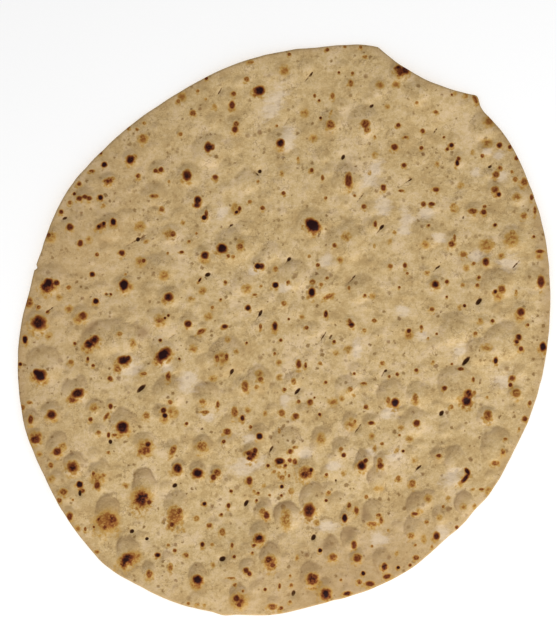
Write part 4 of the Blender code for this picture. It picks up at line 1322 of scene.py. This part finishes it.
def flour_group(name):
    """Group of dusty flour, thick on its patches and thin elsewhere."""
    inputs = (("Place", VECTOR, None), ("Patch", NUMBER, 0.0), ("Amount", NUMBER, 0.5))
    graph, entry, leave = new_group(name, inputs, "Dust", NUMBER)
    turned = {0: entry["Place"], "Rotation": (0.0, 0.0, SWEEP_TURN), "Scale": SWEEP_SCALE}
    swept = graph.add("ShaderNodeMapping", turned)[0]
    streaks = graph.product(graph.noise(swept, 4.5, 3.0, 0.6), 1.8)
    fine = graph.product(graph.noise(entry["Place"], 1.4, 2.0, 0.6), 0.5)
    dust = graph.fade(graph.total(entry["Patch"], streaks, fine), 1.34, 2.1)
    graph.feed(leave, graph.product(dust, entry["Amount"]))
    return graph.tree


def tone_group(name):
    """Group of the crust's plain colour, uneven in broad patches and in small ones."""
    inputs = [("Place", VECTOR, None)]
    inputs += [(colour, COLOUR, None) for colour in ("Pale", "Middle", "Deep")]
    graph, entry, leave = new_group(name, inputs, "Colour", COLOUR)
    levels = []
    for size, detail, roughness, share in TONE_LUMPS:
        levels.append(graph.product(graph.noise(entry["Place"], size, detail, roughness), share))
    level = graph.total(*levels)
    colour = graph.mix(graph.fade(level, 0.91, 1.21), entry["Deep"], entry["Middle"])
    colour = graph.mix(graph.fade(level, 1.11, 1.41), colour, entry["Pale"])
    graph.feed(leave, colour)
    return graph.tree


def crease_shade_group(name):
    """Group of thin broken lines of painted shade in the skin's creases, bunched in places."""
    graph, entry, leave = new_group(name, (("Place", VECTOR, None),), "Crease", NUMBER)
    folds = graph.noise(entry["Place"], 7.0, 3.0, 0.55)
    away = graph.math("ABSOLUTE", graph.math("SUBTRACT", folds, 0.5))
    bunch = graph.fade(graph.noise(entry["Place"], 11.0), 0.44, 0.6)
    graph.feed(leave, graph.product(graph.fade(away, 0.026, 0.0), bunch))
    return graph.tree


def burn_group(name):
    """Group that lays the colours of burning over a crust colour."""
    inputs = [("Burn", NUMBER, 0.0), ("Crust", COLOUR, None)]
    inputs += [(step, COLOUR, None) for step, _, _, _ in BURN_STEPS]
    graph, entry, leave = new_group(name, inputs, "Colour", COLOUR)
    colour = entry["Crust"]
    for step, _, low, high in BURN_STEPS:
        colour = graph.mix(graph.fade(entry["Burn"], low, high), colour, entry[step])
    graph.feed(leave, colour)
    return graph.tree


def grain_group(name):
    """Group of the crust's fine relief, as a height in mm."""
    inputs = (("Place", VECTOR, None), ("Coarse", NUMBER, 0.3), ("Fine", NUMBER, 0.1))
    graph, entry, leave = new_group(name, inputs, "Height", NUMBER)
    coarse = graph.product(graph.noise(entry["Place"], 4.5, 3.0, 0.55), entry["Coarse"])
    fine = graph.product(graph.noise(entry["Place"], 1.0, 3.0, 0.6), entry["Fine"])
    graph.feed(leave, graph.total(coarse, fine))
    return graph.tree


GROUPS = {
    "scorch_spot": scorch_group,
    "crust_flecks": fleck_group,
    "flour_dust": flour_group,
    "crust_tone": tone_group,
    "skin_creases": crease_shade_group,
    "burn_colour": burn_group,
    "crust_grain": grain_group,
}


def new_material(name):
    """Crust material with its graph, its shader node and places in mm."""
    material = bpy.data.materials.new(name)
    material.use_nodes = True
    graph = Graph(material.node_tree)
    shader = material.node_tree.nodes["Principled BSDF"]
    shader.inputs["Specular IOR Level"].default_value = CRUST_SHINE
    where = graph.add("ShaderNodeTexCoord")["Object"]
    return material, graph, shader, graph.scaled(where, 1.0 / MM)


def plain_crust(graph, colours, place):
    """Colour of the crust with no marks."""
    feeds = {"Place": place, "Pale": colours.pale, "Middle": colours.crust, "Deep": colours.deep}
    return graph.place("crust_tone", feeds)


def flecks(graph, place, cell, radius):
    """Mask of flecks, one in each cell of a size in mm."""
    return graph.place("crust_flecks", {"Place": place, "Cell": cell, "Radius": radius})


def flour_dust(graph, place, amount):
    """Mask of the flour."""
    patch = graph.attribute("flour_patch")
    return graph.place("flour_dust", {"Place": place, "Patch": patch, "Amount": amount})


def scorch_burn(graph, place, names, raggedness, halo=1.0):
    """Burning of several sets of spots, joined so that close spots run together."""
    burn = None
    for name in names:
        mark = graph.attribute(name, "Vector")
        feeds = {"Mark": mark, "Place": place, "Raggedness": raggedness, "Halo": halo}
        here = graph.place("scorch_spot", feeds)
        if burn is None:
            burn = here
            continue
        burn = graph.math("SUBTRACT", graph.total(burn, here), graph.product(burn, here))
    return burn


def spots_and_stains(graph, place, raggedness, stain):
    """Burning of the scorch spots and of the ochre stains."""
    spots = scorch_burn(graph, place, SPOT_MARKS, raggedness)
    size, roughness, low, high, bottom, top = stain
    level = graph.fade(graph.noise(place, size, 3.0, roughness), low, high, bottom, top)
    return graph.math("MAXIMUM", spots, graph.product(level, graph.attribute("ochre_stain")))


def burnt(graph, colours, burn, crust):
    """Crust colour with its burning laid over it."""
    feeds = {"Burn": burn, "Crust": crust}
    for step, setting, _, _ in BURN_STEPS:
        feeds[step] = getattr(colours, setting)
    return graph.place("burn_colour", feeds)


def finish_crust(graph, shader, place, crust, burn, dust, cuts, grain):
    """Feed a crust's colours, roughness and relief to its shader."""
    roughness = graph.math("SUBTRACT", CRUST_ROUGHNESS, graph.product(burn, BURN_GLOSS))
    roughness = graph.total(roughness, graph.product(dust, FLOUR_ROUGHNESS))
    height = graph.place("crust_grain", {"Place": place, "Coarse": grain[0], "Fine": grain[1]})
    height = graph.math("SUBTRACT", height, graph.product(burn, BURN_DEPTH))
    height = graph.math("SUBTRACT", height, graph.product(cuts, CUT_DEPTH))
    bump = graph.add("ShaderNodeBump", {"Height": height, "Distance": MM, "Strength": 1.0})
    graph.feed(shader.inputs["Base Color"], crust)
    graph.feed(shader.inputs["Roughness"], roughness)
    graph.feed(shader.inputs["Normal"], bump[0])


def sloped(graph, colours, place, crust):
    """Crust colour with shade painted on the blisters' far slopes and in the folds at their feet."""
    far_slope_shade = graph.attribute("far_slope_shade")
    ragged = graph.math("SUBTRACT", graph.noise(place, 2.4, 3.0, 0.6), 0.5)
    gap = graph.total(graph.attribute("foot_gap"), graph.product(ragged, 2.4))
    slope = graph.product(graph.fade(gap, 0.3, -0.6), graph.fade(gap, -8.5, -0.5, 0.12, 1.0))
    # Painted shade on the blisters' far slopes, the sides away from the lamp
    crust = graph.lay(crust, colours.shade, graph.product(slope, far_slope_shade), SLOPE_SHADE_TONE)
    # Painted shade in the fold at each blister's foot on its far side
    crease_shade = graph.fade(graph.math("ABSOLUTE", gap), 1.4, 0.1)
    return graph.lay(crust, colours.crease_shade, graph.product(crease_shade, far_slope_shade), CREASE_SHADE_TONE)


def face_material(colours):
    """Baked face: golden crust, flecks, painted shade on the far slopes, in the creases and near the rim,
    flour, scorch spots and slits.
    """
    material, graph, shader, place = new_material("taftoon_face")
    crust = sloped(graph, colours, place, plain_crust(graph, colours, place))
    # Painted shade in the thin creases of the skin
    skin = graph.place("skin_creases", {"Place": place})
    crust = graph.lay(crust, colours.crease_shade, skin, SKIN_CREASE_SHADE_TONE)
    # Painted shade, darker within a few mm of the rim and where the side and fold shade is set
    rim = graph.fade(graph.attribute("rim_gap"), 8.0, 0.5, 0.0, 0.4)
    rim = graph.math("MAXIMUM", rim, graph.attribute("painted_side_shade"))
    crust = graph.mix(rim, crust, colours.shade)
    crowd = graph.fade(graph.noise(place, 22.0), 0.38, 0.62, 0.5, 1.0)
    small = graph.product(flecks(graph, place, 3.6, 1.6), crowd)
    crust = graph.lay(crust, colours.bran, small, BRAN_TONE)
    crust = graph.lay(crust, colours.fleck, flecks(graph, place, 8.8, 2.1), FLECK_TONE)
    dust = flour_dust(graph, place, FACE_FLOUR)
    crust = graph.mix(dust, crust, colours.flour)
    burn = spots_and_stains(graph, place, FACE_RAGGEDNESS, FACE_STAIN)
    crust = burnt(graph, colours, burn, crust)
    slits = scorch_burn(graph, place, SLIT_MARKS, SLIT_RAGGEDNESS, 0.0)
    crust = graph.mix(graph.fade(slits, 0.08, 0.56), crust, colours.fleck)
    crust = graph.mix(graph.fade(slits, 0.3, 0.9), crust, colours.slit)
    cuts = graph.fade(slits, 0.1, 0.86)
    finish_crust(graph, shader, place, crust, burn, dust, cuts, FACE_GRAIN)
    return material


def underside_material(colours):
    """Underside: paler and flatter, with oven marks and more flour."""
    material, graph, shader, place = new_material("taftoon_underside")
    crust = plain_crust(graph, colours, place)
    crust = graph.lay(crust, colours.fleck, flecks(graph, place, 4.5, 0.8), UNDERSIDE_FLECK_TONE)
    dust = flour_dust(graph, place, UNDERSIDE_FLOUR)
    crust = graph.mix(dust, crust, colours.flour)
    burn = spots_and_stains(graph, place, UNDERSIDE_RAGGEDNESS, UNDERSIDE_STAIN)
    crust = burnt(graph, colours, burn, crust)
    finish_crust(graph, shader, place, crust, burn, dust, 0.0, UNDERSIDE_GRAIN)
    return material


def table_material(colour):
    """Plain finish of the table."""
    material = bpy.data.materials.new("table_white")
    material.use_nodes = True
    shader = material.node_tree.nodes["Principled BSDF"]
    shader.inputs["Base Color"].default_value = colour
    shader.inputs["Roughness"].default_value = TABLE_ROUGHNESS
    shader.inputs["Specular IOR Level"].default_value = TABLE_SHINE
    return material


class TaftoonShape(bpy.types.PropertyGroup):
    """Sizes of the bread."""

    middle_thickness: bpy.props.FloatProperty(
        name="Thickness", description="Thickness of the sheet away from its rim",
        default=3.4 * MM, min=1.0 * MM, max=12.0 * MM, unit="LENGTH", precision=4)
    rim_thickness: bpy.props.FloatProperty(
        name="Rim thickness", description="Thickness of the sheet at its rim",
        default=2.6 * MM, min=1.0 * MM, max=12.0 * MM, unit="LENGTH", precision=4)
    blister_height: bpy.props.FloatProperty(
        name="Blister height", description="Height of the blisters, 1 as baked",
        default=1.0, min=0.0, max=1.5, subtype="FACTOR")
    crumple_height: bpy.props.FloatProperty(
        name="Crumple", description="Height of the small folds between the blisters",
        default=0.16 * MM, min=0.0, max=1.0 * MM, unit="LENGTH", precision=5)
    slit_depth: bpy.props.FloatProperty(
        name="Slit depth", description="Depth of the docking slits",
        default=1.3 * MM, min=0.0, max=2.4 * MM, unit="LENGTH", precision=4)


def colour_property(name, description, screen_colour):
    """Colour that a user can change, given as a screen colour from 0 to 255."""
    return bpy.props.FloatVectorProperty(
        name=name, description=description, subtype="COLOR", size=4, min=0.0, max=1.0,
        default=linear(*screen_colour))


class TaftoonColours(bpy.types.PropertyGroup):
    """Colours of the crust, and of the shade painted on it."""

    pale: colour_property("Pale crust", "Lightest parts of the crust", (207, 181, 142))
    crust: colour_property("Crust", "Most of the crust", (195, 168, 120))
    deep: colour_property("Deep crust", "Darker patches of the crust", (176, 147, 100))
    # Painted shade: laid on the blisters' far slopes, near the rim and on the shaded folds
    shade: colour_property("Far slopes", "Far slopes of the blisters and the rim", (160, 130, 92))
    # Painted shade in the folds at the blisters' feet and in the skin's creases
    crease_shade: colour_property("Creases", "Folds at the feet of the blisters", (128, 100, 66))
    bran: colour_property("Bran", "Small greenish specks of bran", (126, 94, 52))
    fleck: colour_property("Flecks", "Larger brown flecks", (116, 78, 40))
    flour: colour_property("Flour", "Dry flour on the crust", (217, 199, 176))
    ochre: colour_property("Ochre", "Lightest burning", (172, 134, 70))
    brown: colour_property("Brown", "Brown burning", (140, 90, 40))
    dark_brown: colour_property("Dark brown", "Dark burning", (98, 45, 18))
    char: colour_property("Char", "Charred middles", (34, 10, 10))
    slit: colour_property("Slits", "Inside of the docking slits", (44, 22, 8))


class TaftoonTable(bpy.types.PropertyGroup):
    """Table, light and camera."""

    colour: colour_property("Table", "Colour of the table top", (254, 254, 254))
    key_power: bpy.props.FloatProperty(
        name="Key light", description="Power of the lamp in front of the bread",
        default=39.0, min=0.0, max=500.0, subtype="POWER")
    sky: bpy.props.FloatProperty(
        name="Soft light", description="Strength of the light from all round",
        default=0.62, min=0.0, max=5.0, subtype="FACTOR")
    camera_height: bpy.props.FloatProperty(
        name="Camera height", description="Height of the camera over the table",
        default=3.0, min=0.5, max=10.0, unit="LENGTH")


class TAFTOON_OT_bread(bpy.types.Operator):
    """Make the flatbread, lying flat with its baked face up"""

    bl_idname = "taftoon.add_bread"
    bl_label = "Bread"
    bl_options = {"REGISTER", "UNDO"}

    def execute(self, context):
        scene = context.scene
        if "taftoon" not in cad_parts:
            raise RuntimeError("the packed model has no bread")
        mesh = bread_mesh(scene.taftoon_shape)
        mesh.materials.append(face_material(scene.taftoon_colours))
        mesh.materials.append(underside_material(scene.taftoon_colours))
        bread = bpy.data.objects.new("taftoon_bread", mesh)
        scene.collection.objects.link(bread)
        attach(bread, "root")
        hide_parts("taftoon")
        return {"FINISHED"}


class TAFTOON_OT_table(bpy.types.Operator):
    """Set the pale table, the soft light and the camera straight above"""

    bl_idname = "taftoon.set_table"
    bl_label = "Table"
    bl_options = {"REGISTER", "UNDO"}

    def execute(self, context):
        scene = context.scene
        table = scene.taftoon_table
        reach = TABLE_REACH * (CAD_HIGH.x - CAD_LOW.x)
        mesh = bpy.data.meshes.new("table_top")
        corners = [(-reach, -reach, 0), (reach, -reach, 0), (reach, reach, 0), (-reach, reach, 0)]
        mesh.from_pydata(corners, [], [(0, 1, 2, 3)])
        mesh.materials.append(table_material(table.colour))
        floor = bpy.data.objects.new("table_top", mesh)
        scene.collection.objects.link(floor)
        self.add_lights(scene, table)
        self.add_camera(scene, table)
        return {"FINISHED"}

    def add_lights(self, scene, table):
        """Lamp in front, low enough to shade the far slopes, and light from all round."""
        lamp = bpy.data.lights.new("front_lamp", "AREA")
        lamp.shape = "DISK"
        lamp.size = LAMP_WIDTH
        lamp.energy = table.key_power
        lamp.use_shadow = False
        stand = bpy.data.objects.new("front_lamp", lamp)
        stand.location = LAMP_PLACE
        stand.rotation_euler = (-stand.location).to_track_quat("-Z", "Y").to_euler()
        scene.collection.objects.link(stand)
        world = bpy.data.worlds.new("soft_room")
        world.use_nodes = True
        back = world.node_tree.nodes["Background"]
        back.inputs["Color"].default_value = (1.0, 1.0, 1.0, 1.0)
        back.inputs["Strength"].default_value = table.sky
        scene.world = world

    def add_camera(self, scene, table):
        """Camera straight above, framed as the bread lies in the picture."""
        middle_x, middle_y = outline_middle()
        camera = bpy.data.cameras.new("camera_above")
        camera.sensor_width = SENSOR_WIDTH
        camera.lens = SENSOR_WIDTH * table.camera_height / (VIEW_HEIGHT * MM)
        stand = bpy.data.objects.new("camera_above", camera)
        across = VIEW_MIDDLE_X - OVAL_MIDDLE_X - middle_x
        away = VIEW_MIDDLE_Y - OVAL_MIDDLE_Y - middle_y
        stand.location = (across * MM, away * MM, table.camera_height)
        scene.collection.objects.link(stand)
        scene.camera = stand
        scene.view_settings.view_transform = "Standard"


class TAFTOON_PT_panel(bpy.types.Panel):
    """Bread, table and their settings"""

    bl_idname = "TAFTOON_PT_panel"
    bl_label = "Taftoon flatbread"
    bl_space_type = "VIEW_3D"
    bl_region_type = "UI"
    bl_category = "Taftoon"

    def draw(self, context):
        scene = context.scene
        for settings, operator in (
            (scene.taftoon_shape, TAFTOON_OT_bread),
            (scene.taftoon_colours, None),
            (scene.taftoon_table, TAFTOON_OT_table),
        ):
            box = self.layout.box()
            for name in settings.bl_rna.properties.keys():
                if name not in ("rna_type", "name"):
                    box.prop(settings, name)
            if operator:
                box.operator(operator.bl_idname)


CLASSES = (
    TaftoonShape,
    TaftoonColours,
    TaftoonTable,
    TAFTOON_OT_bread,
    TAFTOON_OT_table,
    TAFTOON_PT_panel,
)


def register():
    """Register the classes and hang their settings on the scene."""
    for kind in CLASSES:
        bpy.utils.register_class(kind)
    bpy.types.Scene.taftoon_shape = bpy.props.PointerProperty(type=TaftoonShape)
    bpy.types.Scene.taftoon_colours = bpy.props.PointerProperty(type=TaftoonColours)
    bpy.types.Scene.taftoon_table = bpy.props.PointerProperty(type=TaftoonTable)


def unregister():
    """Take the settings and the classes away again."""
    del bpy.types.Scene.taftoon_table
    del bpy.types.Scene.taftoon_colours
    del bpy.types.Scene.taftoon_shape
    for kind in reversed(CLASSES):
        bpy.utils.unregister_class(kind)


def main():
    """Make the bread and its table."""
    register()
    bpy.ops.taftoon.add_bread()
    bpy.ops.taftoon.set_table()


if __name__ == "__main__":
    main()
